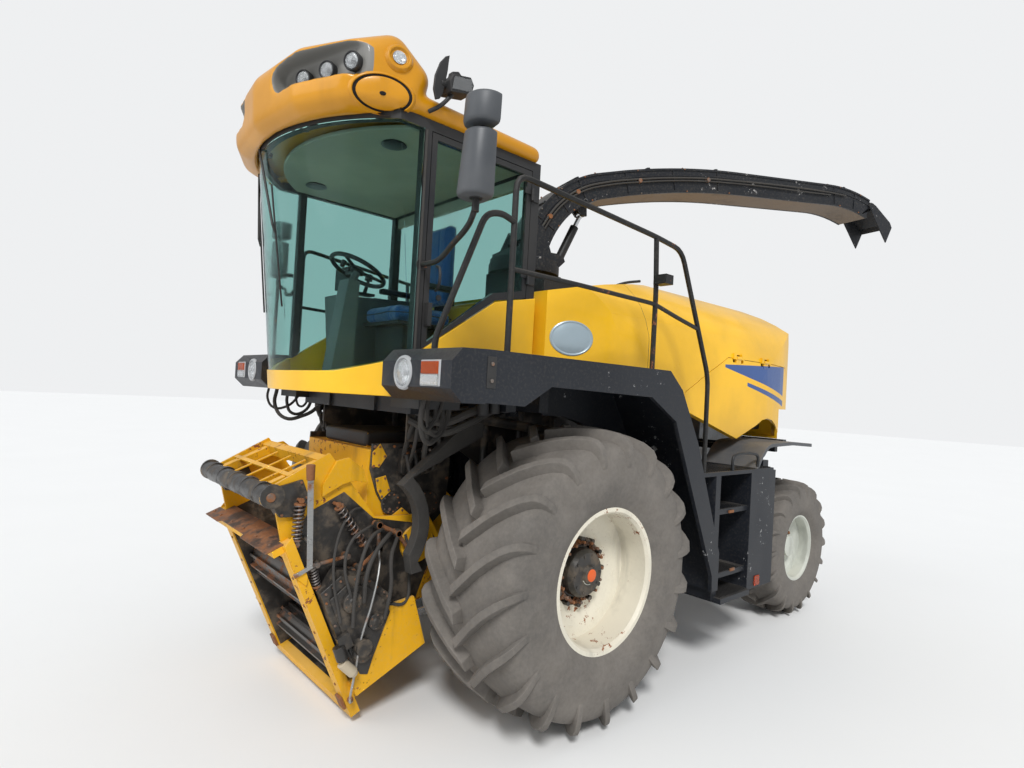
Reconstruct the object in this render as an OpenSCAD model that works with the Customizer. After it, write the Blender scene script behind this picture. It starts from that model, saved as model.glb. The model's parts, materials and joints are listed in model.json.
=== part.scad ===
// Self-propelled forage harvester: X forward, Y to the left, Z up, millimetres.

/* [Wheels] */
// Distance from the front axle to the rear axle
wheelbase = 3200; // [3000:50:3400]
// Distance between the middles of the front tyres
front_track = 2360; // [2300:20:2440]
// Radius of the front tyre over its lugs
front_tyre_r = 910; // [880:5:930]
// Width of the front tyre
front_tyre_w = 770; // [700:10:790]
// Radius of the front rim's flange
front_rim_r = 442; // [420:2:460]
// Lugs on each half of a front tyre
front_lugs = 19; // [16:1:22]
// Height of a front tyre's lugs at its crown
front_lug_h = 66; // [50:1:70]
// Distance between the middles of the rear tyres
rear_track = 2160; // [2120:20:2240]
// Radius of the rear tyre over its lugs
rear_tyre_r = 650; // [620:5:665]
// Width of the rear tyre
rear_tyre_w = 500; // [440:10:520]
// Radius of the rear rim's flange
rear_rim_r = 332; // [310:2:340]
// Lugs on each half of a rear tyre
rear_lugs = 18; // [16:1:20]
// Height of a rear tyre's lugs at its crown
rear_lug_h = 46; // [36:1:52]
// Radius of the wheel spindles
spindle_r = 60; // [50:1:70]

/* [Frame] */
// Half the distance over the outer faces of the frame rails
rail_y = 360; // [330:5:370]
// Width of a frame rail
rail_w = 70; // [50:5:90]
// Underside of the frame rails
rail_z = 1080; // [1070:5:1090]
// Height of a frame rail
rail_h = 160; // [140:5:180]
// Half width of the engine block
engine_y = 450; // [400:10:500]
// Length of the engine block
engine_l = 900; // [800:10:950]
// Height of the engine block
engine_h = 850; // [700:10:880]

/* [Intake] */
// How far the intake leans down from level
intake_tilt = 23.7; // [20:0.1:25]
// Distance of the intake's mouth ahead of its pivot
mouth_x = 775; // [750:5:790]
// Half width of the front frame
mouth_y = 580; // [560:5:600]
// Radius of the intake's trunnions
trunnion_r = 120; // [100:5:130]
// Radius of the upper feed roll
upper_roll_r = 150; // [130:5:160]
// Radius of the lower feed roll
lower_roll_r = 100; // [85:5:110]

/* [Cab] */
// Half width of the cab over its side glass
cab_y = 900; // [880:5:920]
// Underside of the cab
cab_z = 1940; // [1900:10:1960]
// Underside of the roof
roof_z = 3520; // [3480:10:3560]
// Height of the roof at its crest
roof_h = 430; // [410:5:450]
// Radius of the windshield seen from above
windshield_r = 1256; // [1240:2:1280]
// Thickness of the cab's glass
glass_t = 8; // [6:1:12]

/* [Body] */
// Half width of the hood
hood_y = 1250; // [1200:10:1280]
// Thickness of the hood's shell
hood_t = 20; // [12:1:30]
// Outer face of the fenders and platforms
fender_y = 1550; // [1530:5:1580]
// Thickness of the fender sheets
fender_t = 30; // [20:1:40]
// Radius of the handrails
handrail_r = 17; // [14:1:20]

/* [Spout] */
// Turn of the spout from straight back, to the left
spout_turn = 14.8; // [0:0.1:30]
// Half width of the spout at its base
spout_y = 170; // [150:5:190]
// Thickness of the spout's sheets
spout_t = 12; // [8:1:16]
// Radius of the spout's rise
spout_rise_r = 1020; // [980:10:1060]
// Radius of the spout's long sweep
spout_sweep_r = 9000; // [8000:100:10000]
// Length of the spout's straight stretch
spout_straight = 1400; // [1200:50:1500]
// Radius of the spout's drooping end
spout_tip_r = 2200; // [2000:50:2400]
// Length of the spout's deflector
deflector_l = 440; // [400:10:500]

/* [Hidden] */

// The front axle's place along X puts the middle of the overall length at zero.
front_axle_x = 1756;
gap = 5;
running = 0.05;
// Distance between pieces that seat on each other
seat_gap = 0.3;
fender_z = 2200;
hood_low = 1660;
hood_beam_x = -3820;
hood_tail = -3950;
hood_tail_y = 860;
rear_arm_z = 1650;
$fn = 48;

front_wheel_y = front_track / 2;
rear_wheel_y = rear_track / 2;
rail_top = rail_z + rail_h;

function unit(v) = v / norm(v);
function left_of(v) = [-v[1], v[0]];
function arc(c, r, a0, a1, n) = [for (i = [0:n]) c + r * [cos(a0 + (a1 - a0) * i / n), sin(a0 + (a1 - a0) * i / n)]];
// A counter-clockwise outline moved inwards by d
function inset(p, d) = [
  for (i = [0:len(p) - 1])
    let(
      a = unit(p[i] - p[(i + len(p) - 1) % len(p)]),
      b = unit(p[(i + 1) % len(p)] - p[i]),
      n = unit(left_of(a) + left_of(b))
    ) p[i] + n * d / (n * left_of(a))
];

// A path of points with its inner corners rounded over a length r
function rounded(p, r, n = 4) = [
  for (i = [0:len(p) - 1])
    if (i == 0 || i == len(p) - 1) p[i]
    else
      let(a = p[i] + r * unit(p[i - 1] - p[i]), b = p[i] + r * unit(p[i + 1] - p[i]))
        for (t = [0:1 / n:1]) (1 - t) * (1 - t) * a + 2 * t * (1 - t) * p[i] + t * t * b
];
function directions(p) = [
  for (i = [0:len(p) - 1]) unit(p[min(i + 1, len(p) - 1)] - p[max(i - 1, 0)])
];
function carried(d, n, i = 0) = i == len(d) ? []
  : let(m = unit(n - (n * d[i]) * d[i])) concat([m], carried(d, m, i + 1));

// A round bar or tube bent along a path
module bent_bar(p, r, sides = 10) {
  d = directions(p);
  n = carried(d, abs(d[0][2]) > 0.9 ? [1, 0, 0] : [0, 0, 1]);
  rings = [
    for (i = [0:len(p) - 1], k = [0:sides - 1])
      p[i] + r * (cos(360 * k / sides) * n[i] + sin(360 * k / sides) * cross(d[i], n[i]))
  ];
  last = (len(p) - 1) * sides;
  polyhedron(
    rings,
    concat(
      [[for (k = [0:sides - 1]) k]],
      [
        for (i = [0:len(p) - 2], k = [0:sides - 1])
          let(a = i * sides + k, b = i * sides + (k + 1) % sides) [a, a + sides, b + sides, b]
      ],
      [[for (k = [sides - 1:-1:0]) last + k]]
    )
  );
}

module block(lo, hi) {
  translate(lo) cube(hi - lo);
}
// Raises an outline drawn in X and Z between two places on Y
module along_y(y0, y1) {
  translate([0, y1, 0]) rotate([90, 0, 0]) linear_extrude(y1 - y0) children();
}
// Raises an outline drawn in Y and Z between two places on X
module along_x(x0, x1) {
  translate([x0, 0, 0]) rotate([90, 0, 90]) linear_extrude(x1 - x0) children();
}
module cross_shaft(y0, y1, r) {
  translate([0, y1, 0]) rotate([90, 0, 0]) cylinder(r = r, h = y1 - y0);
}
// Turns an outline of [radius, place along Y] about the Y axis
module turned(p) {
  rotate([-90, 0, 0]) rotate_extrude($fn = 72) polygon(p);
}
module both_sides() {
  children();
  mirror([0, 1, 0]) children();
}
module right_side() {
  mirror([0, 1, 0]) children();
}
module placed() {
  translate([front_axle_x, 0, 0]) children();
}

// Wheels: each is drawn about the Y axis, with its outer side towards +Y
rim_seat_drop = 30;
// Stations across half a lug, from the middle to the shoulder: [share of the tyre's half width,
// share of the section's height, share of the lug's height, sweep in degrees, share of its width]
lug_stations = [
  [0.03, 1, 1, 0, 0.9], [0.52, 0.985, 1, 12.5, 1], [0.88, 0.895, 0.95, 19.5, 1], [0.985, 0.60, 0, 22.8, 0.8],
];
sidewall_low = 0.34;
bead_in = 14;
function on_ring(r, a, y) = [r * cos(a), y, r * sin(a)];
// A tyre as one mesh: lugs on both halves of its crown, staggered by half a pitch and swept back,
// with the sidewalls down to the beads
module tyre(r, w, rim_r, rim_w, lugs, lug_h, lug_w) {
  seat = rim_r - rim_seat_drop + 8;
  deep = r - seat;
  half_pitch = 180 / lugs;
  function spread(st) = lug_w * st[4] / 2 / r * 180 / PI;
  first = -90 + spread(lug_stations[0]);
  // The left half carries the first lug and the right half follows half a pitch later
  function phase(side) = side > 0 ? 0 : 1;
  function lug_at(st, side, i) = first + (2 * i + phase(side)) * half_pitch + st[3];
  function lug_ring(st, side) = [
    for (i = [0:lugs - 1])
      let(
        a = lug_at(st, side, i), h = spread(st), top = seat + deep * st[1],
        foot = top - lug_h * st[2], y = side * w / 2 * st[0]
      )
        each [
          on_ring(foot, a - 1.3 * h, y), on_ring(top, a - h, y), on_ring(top, a + h, y), on_ring(foot, a + 1.3 * h, y),
        ]
  ];
  function shoulder_ring(st, side) = [
    for (i = [0:lugs - 1])
      let(a = lug_at(st, side, i), h = spread(st), top = seat + deep * st[1], y = side * w / 2 * st[0])
        each [on_ring(top, a - h, y), on_ring(top, a + h, y)]
  ];
  function even_ring(ring_r, y, side) = [
    for (k = [0:2 * lugs - 1])
      on_ring(ring_r, first + lug_stations[3][3] - half_pitch / 4 + (k + phase(side)) * half_pitch, side * y)
  ];
  function half_points(side) = concat(
    lug_ring(lug_stations[0], side), lug_ring(lug_stations[1], side), lug_ring(lug_stations[2], side),
    shoulder_ring(lug_stations[3], side),
    even_ring(seat + deep * sidewall_low, w / 2, side),
    even_ring(rim_r + 4, rim_w / 2 - bead_in, side),
    even_ring((seat + seat_gap) / cos(half_pitch / 2), rim_w / 2 - bead_in - 1, side)
  );
  n4 = 4 * lugs;
  n2 = 2 * lugs;
  half = 20 * lugs;
  // Where each ring of one half starts, and how many points it has
  starts = [0, n4, 2 * n4, 3 * n4, 3 * n4 + n2, 3 * n4 + 2 * n2, 3 * n4 + 3 * n2];
  function split(a, b, c, d) = [[a, b, c], [a, c, d]];
  function strip(a, b, n) = [
    for (k = [0:n - 1]) each split(a + k, a + (k + 1) % n, b + (k + 1) % n, b + k)
  ];
  // Faces of the left half
  half_faces = concat(
    strip(starts[0], starts[1], n4), strip(starts[1], starts[2], n4),
    [
      for (i = [0:lugs - 1])
        let(l = starts[2] + 4 * i, next = starts[2] + (4 * i + 4) % n4, s = starts[3] + 2 * i,
          s_next = starts[3] + (2 * i + 2) % n2)
          each [
            [l, l + 1, s], [l + 1, l + 2, s + 1], [l + 1, s + 1, s], [l + 2, l + 3, s + 1],
            [l + 3, next, s_next], [l + 3, s_next, s + 1],
          ]
    ],
    strip(starts[3], starts[4], n2), strip(starts[4], starts[5], n2), strip(starts[5], starts[6], n2),
    // Inner ends of the lugs
    [for (i = [0:lugs - 1]) let(l = 4 * i) each [[l, l + 3, l + 2], [l, l + 2, l + 1]]]
  );
  middle = [
    for (i = [0:lugs - 1])
      let(
        a0 = 4 * i, a1 = a0 + 3, a2 = (4 * i + 4) % n4,
        b0 = half + 4 * i, b1 = b0 + 3, b2 = half + (4 * i + 4) % n4
      )
        each [[a1, a0, b0], [b0, b1, a1], [a2, a1, b1], [b1, b2, a2]]
  ];
  inner = [
    for (k = [0:n2 - 1])
      let(p = starts[6], q = half + starts[6])
        each split(p + k, p + (k + 1) % n2, q + k, q + (k + n2 - 1) % n2)
  ];
  color("#2b2a28") polyhedron(
    concat(half_points(1), half_points(-1)),
    concat(half_faces, [for (f = half_faces) [f[2] + half, f[1] + half, f[0] + half]], middle, inner)
  );
}
// The rim's barrel has a flange at each edge and a dished disc between them
module rim(rim_r, rim_w, disc_y, disc_t, bore_r, hub_r) {
  seat = rim_r - rim_seat_drop;
  color("#e6e2d2") turned([
    [bore_r, disc_y - disc_t], [hub_r, disc_y - disc_t], [seat - 60, disc_y - disc_t + 30],
    [seat - 24, disc_y - disc_t + 10], [seat - 24, -rim_w / 2 + 20],
    [seat, -rim_w / 2 + 12], [seat, -rim_w / 2], [rim_r, -rim_w / 2], [rim_r, -rim_w / 2 + 12],
    [seat + 8, -rim_w / 2 + 14], [seat + 8, rim_w / 2 - 14],
    [rim_r, rim_w / 2 - 12], [rim_r, rim_w / 2], [seat, rim_w / 2], [seat - 14, rim_w / 2 - 20],
    [seat - 14, disc_y + 40], [seat - 60, disc_y + 30], [hub_r, disc_y], [bore_r, disc_y],
  ]);
}

front_rim_w = 680;
front_disc_y = 90;
front_disc_bore = 150;
front_hub_in = -200;
front_hub_flange_r = 240;
front_lug_w = 62;
module front_tyre() {
  tyre(front_tyre_r, front_tyre_w, front_rim_r, front_rim_w, front_lugs, front_lug_h, front_lug_w);
}
module front_rim() {
  rim(front_rim_r, front_rim_w, front_disc_y, 18, front_disc_bore, 260);
}
// The final drive's turning hub carries the disc on its flange
module front_hub() {
  color("#35322e") turned([
    [spindle_r + running, front_hub_in], [190, front_hub_in], [200, front_disc_y - 60],
    [front_hub_flange_r, front_disc_y - 50], [front_hub_flange_r, front_disc_y - 18],
    [front_disc_bore - 1, front_disc_y - 18], [front_disc_bore - 1, front_disc_y + 60],
    [130, front_disc_y + 90], [60, front_disc_y + 100], [52, front_disc_y + 120], [0, front_disc_y + 120],
    [0, front_disc_y + 70], [spindle_r + running, front_disc_y + 70],
  ]);
  color("#6b3a22") for (i = [0:11]) rotate([0, i * 30, 0]) translate([205, 0, 0])
    cross_shaft(front_disc_y + 0.2, front_disc_y + 38, 14);
}
module front_wheel_place() {
  placed() translate([0, front_wheel_y, front_tyre_r]) children();
}
module tyre_fl() { front_wheel_place() front_tyre(); }
module rim_fl() { front_wheel_place() front_rim(); }
module hub_fl() { front_wheel_place() front_hub(); }
module tyre_fr() { right_side() tyre_fl(); }
module rim_fr() { right_side() rim_fl(); }
module hub_fr() { right_side() hub_fl(); }

rear_rim_w = 420;
rear_disc_y = 60;
rear_hub_in = -110;
rear_lug_w = 46;
module rear_tyre() {
  tyre(rear_tyre_r, rear_tyre_w, rear_rim_r, rear_rim_w, rear_lugs, rear_lug_h, rear_lug_w);
}
module rear_rim() {
  union() {
    rim(rear_rim_r, rear_rim_w, rear_disc_y, 16, spindle_r + running, 190);
    color("#4a4844") turned([
      [spindle_r + running, rear_hub_in], [110, rear_hub_in], [120, rear_disc_y - 10],
      [spindle_r + running, rear_disc_y - 10],
    ]);
    color("#4a4844") turned([
      [0, rear_disc_y + 45], [spindle_r + running, rear_disc_y + 45], [spindle_r + running, rear_disc_y - 5],
      [105, rear_disc_y - 5], [100, rear_disc_y + 70], [0, rear_disc_y + 80],
    ]);
  }
}
module rear_wheel_place() {
  placed() translate([-wheelbase, rear_wheel_y, rear_tyre_r]) children();
}
module tyre_rl() { rear_wheel_place() rear_tyre(); }
module rim_rl() { rear_wheel_place() rear_rim(); }
module tyre_rr() { right_side() tyre_rl(); }
module rim_rr() { right_side() rim_rl(); }

// Steering knuckle: an upright barrel round the kingpin, with the spindle
kingpin_y = 800;
kingpin_r = 35;
knuckle_h = 180;
module knuckle_l() {
  color("#2e2e2e") placed() translate([-wheelbase, kingpin_y, rear_tyre_r]) difference() {
    union() {
      translate([0, 0, -knuckle_h / 2]) cylinder(r = 75, h = knuckle_h);
      cross_shaft(40, rear_wheel_y - kingpin_y + rear_hub_in - gap, 80);
      cross_shaft(40, rear_wheel_y - kingpin_y + rear_disc_y + 35, spindle_r);
      // Steering arm reaching behind the kingpin
      translate([0, 0, -knuckle_h / 2]) block([-200, 15, 0], [0, 60, 40]);
    }
    translate([0, 0, -knuckle_h]) cylinder(r = kingpin_r + running, h = 2 * knuckle_h);
  }
}
module knuckle_r() { right_side() knuckle_l(); }

// Frame, axles and engine
final_drive_y = front_wheel_y + front_hub_in - 20;
axle_r = 130;
rear_beam_h = 200;
frame_front = 270;
cab_beam_h = 100;
frame_rear = -3850;
module front_axle() {
  color("#3a3a38") placed() translate([0, 0, front_tyre_r]) {
    cross_shaft(-final_drive_y, final_drive_y, axle_r);
    both_sides() {
      cross_shaft(final_drive_y - 180, final_drive_y, 230);
      cross_shaft(final_drive_y - 10, front_wheel_y + front_disc_y + 60, spindle_r);
      // Clevis for the foot of the lift cylinder
      for (y = [lift_y - 50, lift_y + 35]) along_y(y, y + 15)
        polygon([[-60, -60], [60, -100], [lift_foot[0] + 35, lift_foot[2] - front_tyre_r + 20],
          [lift_foot[0] + 20, lift_foot[2] - front_tyre_r - 35], [lift_foot[0] - 30, lift_foot[2] - front_tyre_r - 30]]);
      translate([lift_foot[0], 0, lift_foot[2] - front_tyre_r]) cross_shaft(lift_y - 50, lift_y + 50, lift_pin_r);
      // Saddle under the frame rail
      block([-150, rail_y - rail_w, 0], [150, rail_y, rail_z - front_tyre_r]);
    }
  }
}
module rear_axle() {
  color("#3a3a38") placed() translate([-wheelbase, 0, rear_tyre_r]) {
    block([-90, -kingpin_y + 110, -90], [90, kingpin_y - 110, 110]);
    // The pivot head in the middle sits in the frame's saddle
    block([-140, -120, 100], [140, 120, rear_beam_h]);
    both_sides() {
      for (z = [-knuckle_h / 2 - gap - 35, knuckle_h / 2 + gap])
        translate([0, kingpin_y, z]) cylinder(r = 75, h = 35);
      for (z = [-knuckle_h / 2 - gap - 35, knuckle_h / 2 + gap])
        block([-70, kingpin_y - 120, z], [70, kingpin_y, z + 35]);
      block([-70, kingpin_y - 150, -knuckle_h / 2 - gap - 35], [70, kingpin_y - 90, knuckle_h / 2 + gap + 35]);
      translate([0, kingpin_y, -knuckle_h / 2 - gap - 40]) cylinder(r = kingpin_r, h = knuckle_h + 2 * gap + 80);
    }
  }
}
cross_x = [100, 380, 880];
drawbar_r = 16;
module main_frame() {
  color("#33363b") placed() difference() {
    union() {
      both_sides() {
        block([frame_rear, rail_y - rail_w, rail_z], [frame_front, rail_y, rail_top]);
        // Uprights, side beams and struts under the cab and the fenders
        for (x = [-60, frame_front - 90])
          block([x, rail_y - rail_w, rail_top - 10], [x + 90, rail_y, cab_z - 10]);
        block([-60, rail_y - rail_w, cab_z - cab_beam_h], [980, rail_y, cab_z - 10]);
        for (x = [cross_x[0], cross_x[1]]) {
          block([x, 700, cab_z - 60], [x + 80, 1040, cab_z]);
          block([x, fender_in_y + liner_t + seat_gap, cab_z - 60], [x + 80, 1040, fender_z - fender_t - seat_gap]);
        }
        // Arms to the rear fenders
        for (x = [-2240, -2640]) {
          block([x, rail_y - rail_w, rail_top - 10], [x + 50, rail_y, rear_arm_z]);
          block([x, rail_y - rail_w, rear_arm_z - 50], [x + 50, 1300, rear_arm_z]);
        }
        // Posts of the beam that carries the hood's tail
        block([hood_beam_x, rail_y - rail_w, rail_top - 10], [hood_beam_x + 80, rail_y, hood_low - 30]);
      }
      for (x = cross_x) block([x, -760, cab_z - cab_beam_h], [x + 80, 760, cab_z]);
      for (x = [-700, -1700, -2600, frame_rear])
        block([x, -rail_y + 20, rail_z + 20], [x + 90, rail_y - 20, rail_top - 20]);
      block([frame_front - 90, -drum_y - 20, rail_z], [frame_front, drum_y + 20, rail_top]);
      block([hood_beam_x, -hood_tail_y, hood_low - 60], [hood_beam_x + 80, hood_tail_y, hood_low - seat_gap]);
      // Saddle over the rear axle
      block([-wheelbase - 140, -rail_y + 10, rear_tyre_r + rear_beam_h], [-wheelbase + 140, rail_y - 10, rail_z + 40]);
    }
    // Bore for a drawbar pin in the rear cross member
    translate([frame_rear + 45, 0, rail_z]) cylinder(r = drawbar_r, h = rail_h);
  }
}
engine_x = frame_rear + 1130;
engine_z = rail_top + 90;
module engine() {
  color("#5d6166") placed() {
    block([engine_x - engine_l, -engine_y, engine_z], [engine_x, engine_y, engine_z + engine_h]);
    both_sides() for (x = [engine_x - engine_l + 60, engine_x - 160])
      block([x, rail_y - rail_w, rail_top], [x + 100, rail_y, engine_z + 10]);
  }
}

// Cutterhead housing: a drum shell on side plates, with trunnions for the intake
pivot = [700, 0, 1000];
drum_r = 375;
drum_y = 430;
module at_pivot() {
  placed() translate(pivot) children();
}
// Intake frame of reference: X out of the mouth, Z up along it
module at_intake() {
  at_pivot() rotate([0, intake_tilt, 0]) children();
}
module cutter_housing() {
  color("#e8a90c") at_pivot() {
    difference() {
      union() {
        cross_shaft(-drum_y - 20, drum_y + 20, drum_r + 25);
        block([frame_front - pivot[0], -drum_y - 20, -80], [-200, drum_y + 20, rail_top - pivot[2]]);
        block([-230, -drum_y - 20, 200], [340, drum_y + 20, 600]);
        block([-240, -300, 590], [280, 300, 690]);
      }
      cross_shaft(-drum_y, drum_y, drum_r);
      // Feed opening at the front and outlet up into the duct
      rotate([0, intake_tilt, 0]) block([100, -drum_y, -420], [600, drum_y, 60]);
      along_y(-duct_y + 12, duct_y - 12) polygon([[-200, 100], [-400, 100], [-400, 300], [-337, 300], [-337, 200], [-200, 200]]);
    }
    both_sides() cross_shaft(drum_y + 10, drum_y + 95, trunnion_r);
  }
}
duct_y = 230;
turret_x = -560;
turret_z = 3080;
ring_h = 75;
spigot_r = 200;
module crop_duct() {
  color("#4b4f55") placed() {
    difference() {
      along_y(-duct_y, duct_y) polygon([
        [375, rail_top + seat_gap], [370, 1400], [-150, 2000], [-340, 2300], [-340, turret_z - ring_h],
        [-780, turret_z - ring_h], [-780, 2200], [-560, 1850], [280, rail_top + seat_gap],
      ]);
      along_y(-duct_y + 12, duct_y - 12) polygon([
        [363, rail_top - 10], [358, 1396], [-160, 1992], [-352, 2296], [-352, turret_z],
        [-768, turret_z], [-768, 2204], [-550, 1858], [298, rail_top - 10],
      ]);
    }
    // Slewing ring on the duct's head
    translate([turret_x, 0, turret_z - ring_h]) difference() {
      cylinder(r = 300, h = ring_h - seat_gap);
      translate([0, 0, -1]) cylinder(r = spigot_r + running, h = 100);
    }
  }
}

// Hood: side outline, cross-section and plan together make its form
hood_front = 90;
hood_side_r = 2770;
function hood_section(d) = let(y = hood_y - d) concat(
  [[-y, 1500], [y, 1500]],
  [for (a = [0:7.5:90]) [y * pow(cos(a), 0.62), 2150 + (880 - d) * pow(sin(a), 0.75)]],
  [for (a = [82.5:-7.5:0]) [-y * pow(cos(a), 0.62), 2150 + (880 - d) * pow(sin(a), 0.75)]]
);
hood_outline = concat(
  [
    [hood_front, 2690], [-400, 2800], [-860, 2890], [-1300, 2965], [-1750, 3015], [-2200, 3025], [-2600, 2985],
    [-3000, 2880], [-3350, 2720], [-3640, 2500], [-3840, 2220], [-3930, 1920], [hood_tail, hood_low],
    [-3080, hood_low],
  ],
  arc([-2550, 1450], 450, 150, 60, 6),
  [[-1970, 1720], [-1150, 1945], [-980, 1950], [-700, 2120], [-500, fender_z + seat_gap], [hood_front, fender_z + seat_gap]]
);
module hood_form(d) {
  intersection() {
    along_y(-1300, 1300) polygon(inset(hood_outline, d));
    along_x(hood_tail - 100, hood_front + 100) polygon(hood_section(d));
    translate([0, 0, 1500]) linear_extrude(1700) polygon(inset(concat(
      [[hood_front + 10, -cab_y - 60], [hood_front + 10, cab_y + 60], [-300, hood_y - 60], [-900, hood_y]],
      arc([-2300, hood_y - hood_side_r], hood_side_r, 90, 114, 6), [[-3750, 860], [-3930, 650]],
      [[-3930, -650], [-3750, -860]], arc([-2300, -hood_y + hood_side_r], hood_side_r, 246, 270, 6),
      [[-900, -hood_y], [-300, -hood_y + 60]]
    ), d));
  }
}
// The side panels are the hood's sides below the seam, hinged along the seam's level top
panel_top = 2400;
panel_seam = [
  [-3300, 1500], [-1150, 1500], [-1150, 2080], [-1500, 2260], [-1800, panel_top], [-3080, panel_top], [-3300, 2330],
];
panel_pin = [1238, panel_top + 3];
panel_pin_r = 8;
panel_eye_r = 16;
hinge_x = [-1960, -2460];
hinge_l = 80;
module hood_shell() {
  difference() {
    hood_form(0);
    hood_form(hood_t);
  }
}
module hood() {
  color("#f0b010") placed() {
    difference() {
      hood_shell();
      both_sides() along_y(700, 1400) polygon(panel_seam);
      // Mouth for the turret, and openings at the rear and below
      translate([turret_x, 0, 2500]) cylinder(r = 325, h = 700);
      block([hood_tail - 100, -grille_y, grille_z[0]], [hood_tail + 250, grille_y, grille_z[1]]);
      block([-3850, -hood_y + 60, 1400], [50, hood_y - 60, 1990]);
      block([-850, -hood_y + 60, 1400], [-450, hood_y - 60, 2300]);
      block([-451, -cab_y - 40, 1400], [hood_front - hood_t, cab_y + 40, 2300]);
      // Notches round the panel hinges
      both_sides() for (x = hinge_x)
        block([x - hinge_l / 2 - 45, 1100, panel_pin[1] - 40], [x + hinge_l / 2 + 45, 1300, panel_pin[1] + 30]);
    }
    // Hinge ears with their pin
    both_sides() for (x = hinge_x) {
      for (s = [-1, 1])
        block([x + s * (hinge_l / 2 + 25) - 20, panel_pin[0] - 24, panel_pin[1] - 12], [x + s * (hinge_l / 2 + 25) + 20, panel_pin[0] + 10, panel_pin[1] + 36]);
      translate([x - hinge_l / 2 - 40, panel_pin[0], panel_pin[1]]) rotate([0, 90, 0]) cylinder(r = panel_pin_r, h = hinge_l + 80);
    }
  }
}
module side_panel_l() {
  color("#f0b010") placed() difference() {
    union() {
      difference() {
        intersection() {
          hood_shell();
          along_y(800, 1400) polygon(inset(panel_seam, gap));
        }
        block([-3850, -hood_y, 1400], [50, hood_y - 60, 1990]);
        for (x = hinge_x)
          block([x - hinge_l / 2 - 50, 1100, panel_pin[1] - 40], [x + hinge_l / 2 + 50, 1300, panel_pin[1] + 30]);
      }
      for (x = hinge_x) {
        translate([x - hinge_l / 2, panel_pin[0], panel_pin[1]]) rotate([0, 90, 0]) cylinder(r = panel_eye_r, h = hinge_l);
        block([x - hinge_l / 2, panel_pin[0] - 14, panel_pin[1] - 60], [x + hinge_l / 2, panel_pin[0] + 6, panel_pin[1]]);
      }
    }
    for (x = hinge_x)
      translate([x - hinge_l, panel_pin[0], panel_pin[1]]) rotate([0, 90, 0]) cylinder(r = panel_pin_r + running, h = 2 * hinge_l);
  }
}
module side_panel_r() { right_side() side_panel_l(); }
grille_y = 500;
grille_z = [1750, 2200];
module rear_grille() {
  color("#26282b") placed() difference() {
    intersection() {
      block([-3980, -grille_y + seat_gap, grille_z[0] + seat_gap], [-3760, grille_y - seat_gap, grille_z[1] - seat_gap]);
      hood_form(4);
    }
    block([-3830, -grille_y + 30, grille_z[0] + 30], [-3740, grille_y - 30, grille_z[1] - 30]);
    for (z = [grille_z[0] + 40:60:grille_z[1] - 80]) block([hood_tail - 100, -grille_y + 50, z], [hood_tail + 150, grille_y - 50, z + 32]);
  }
}
module rear_bumper() {
  color("#2b2d30") placed() {
    block([frame_rear - 130, -600, rail_z - 60], [frame_rear, 600, rail_top + 160]);
    for (s = [-1, 1]) block([frame_rear - 160, s * 500 - 60, rail_z + 60], [frame_rear - 130, s * 500 + 60, rail_top]);
  }
}

// Fenders: a walkway sheet over the front wheel and a deep skirt along its outer edge
fender_top = [[1040, fender_z], [-300, fender_z], [-500, fender_z], [-650, 2080], [-870, 1730], [-1230, 920], [-1230, 650]];
fender_under = [[-1150, 650], [-1140, 770], [-590, 1870], [-310, 2020], [590, 2040], [780, 1930], [1040, 1940]];
fender_in_y = 960;
liner_t = 9.7;
module fender_l() {
  color("#3b4149") placed() {
    along_y(fender_y - fender_t, fender_y) polygon(concat(fender_top, fender_under));
    along_y(fender_in_y, fender_y - fender_t + 1) polygon(concat(
      fender_top, [for (i = [len(fender_top) - 1:-1:0]) fender_top[i] + (i < 3 ? [0, -fender_t] : [fender_t, -10])]
    ));
    // Liner between the wheel and the frame
    along_y(fender_in_y, fender_in_y + liner_t) polygon(concat(
      [[80, fender_z - fender_t + 10], [-490, fender_z - fender_t + 10], [-640, 2065], [-850, 1720], [-1180, 960]],
      arc([0, front_tyre_r], front_tyre_r + 45, 177, 85.2, 8)
    ));
    // Nose with the lamp's housing
    difference() {
      along_y(920, fender_y) polygon([[1040, 1935], [1180, 1935], [1250, 2000], [1250, 2130], [1190, 2195], [1040, 2200]]);
      translate([1252, headlamp[0], headlamp[1]]) rotate([0, -90, 0]) cylinder(r = headlamp_r + seat_gap, h = 60);
      block([1210, 1300, 2010], [1260, 1460, 2130]);
    }
  }
}
headlamp = [1130, 2070];
headlamp_r = 80;
module fender_r() { right_side() fender_l(); }
module front_lamps() {
  color("#e8ecee") placed() both_sides() {
    translate([1192 + seat_gap, headlamp[0], headlamp[1]]) rotate([0, 90, 0]) cylinder(r = headlamp_r, h = 54);
    block([1210 + seat_gap, 1300 + seat_gap, 2010 + seat_gap], [1254, 1460 - seat_gap, 2130 - seat_gap]);
  }
}

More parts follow.
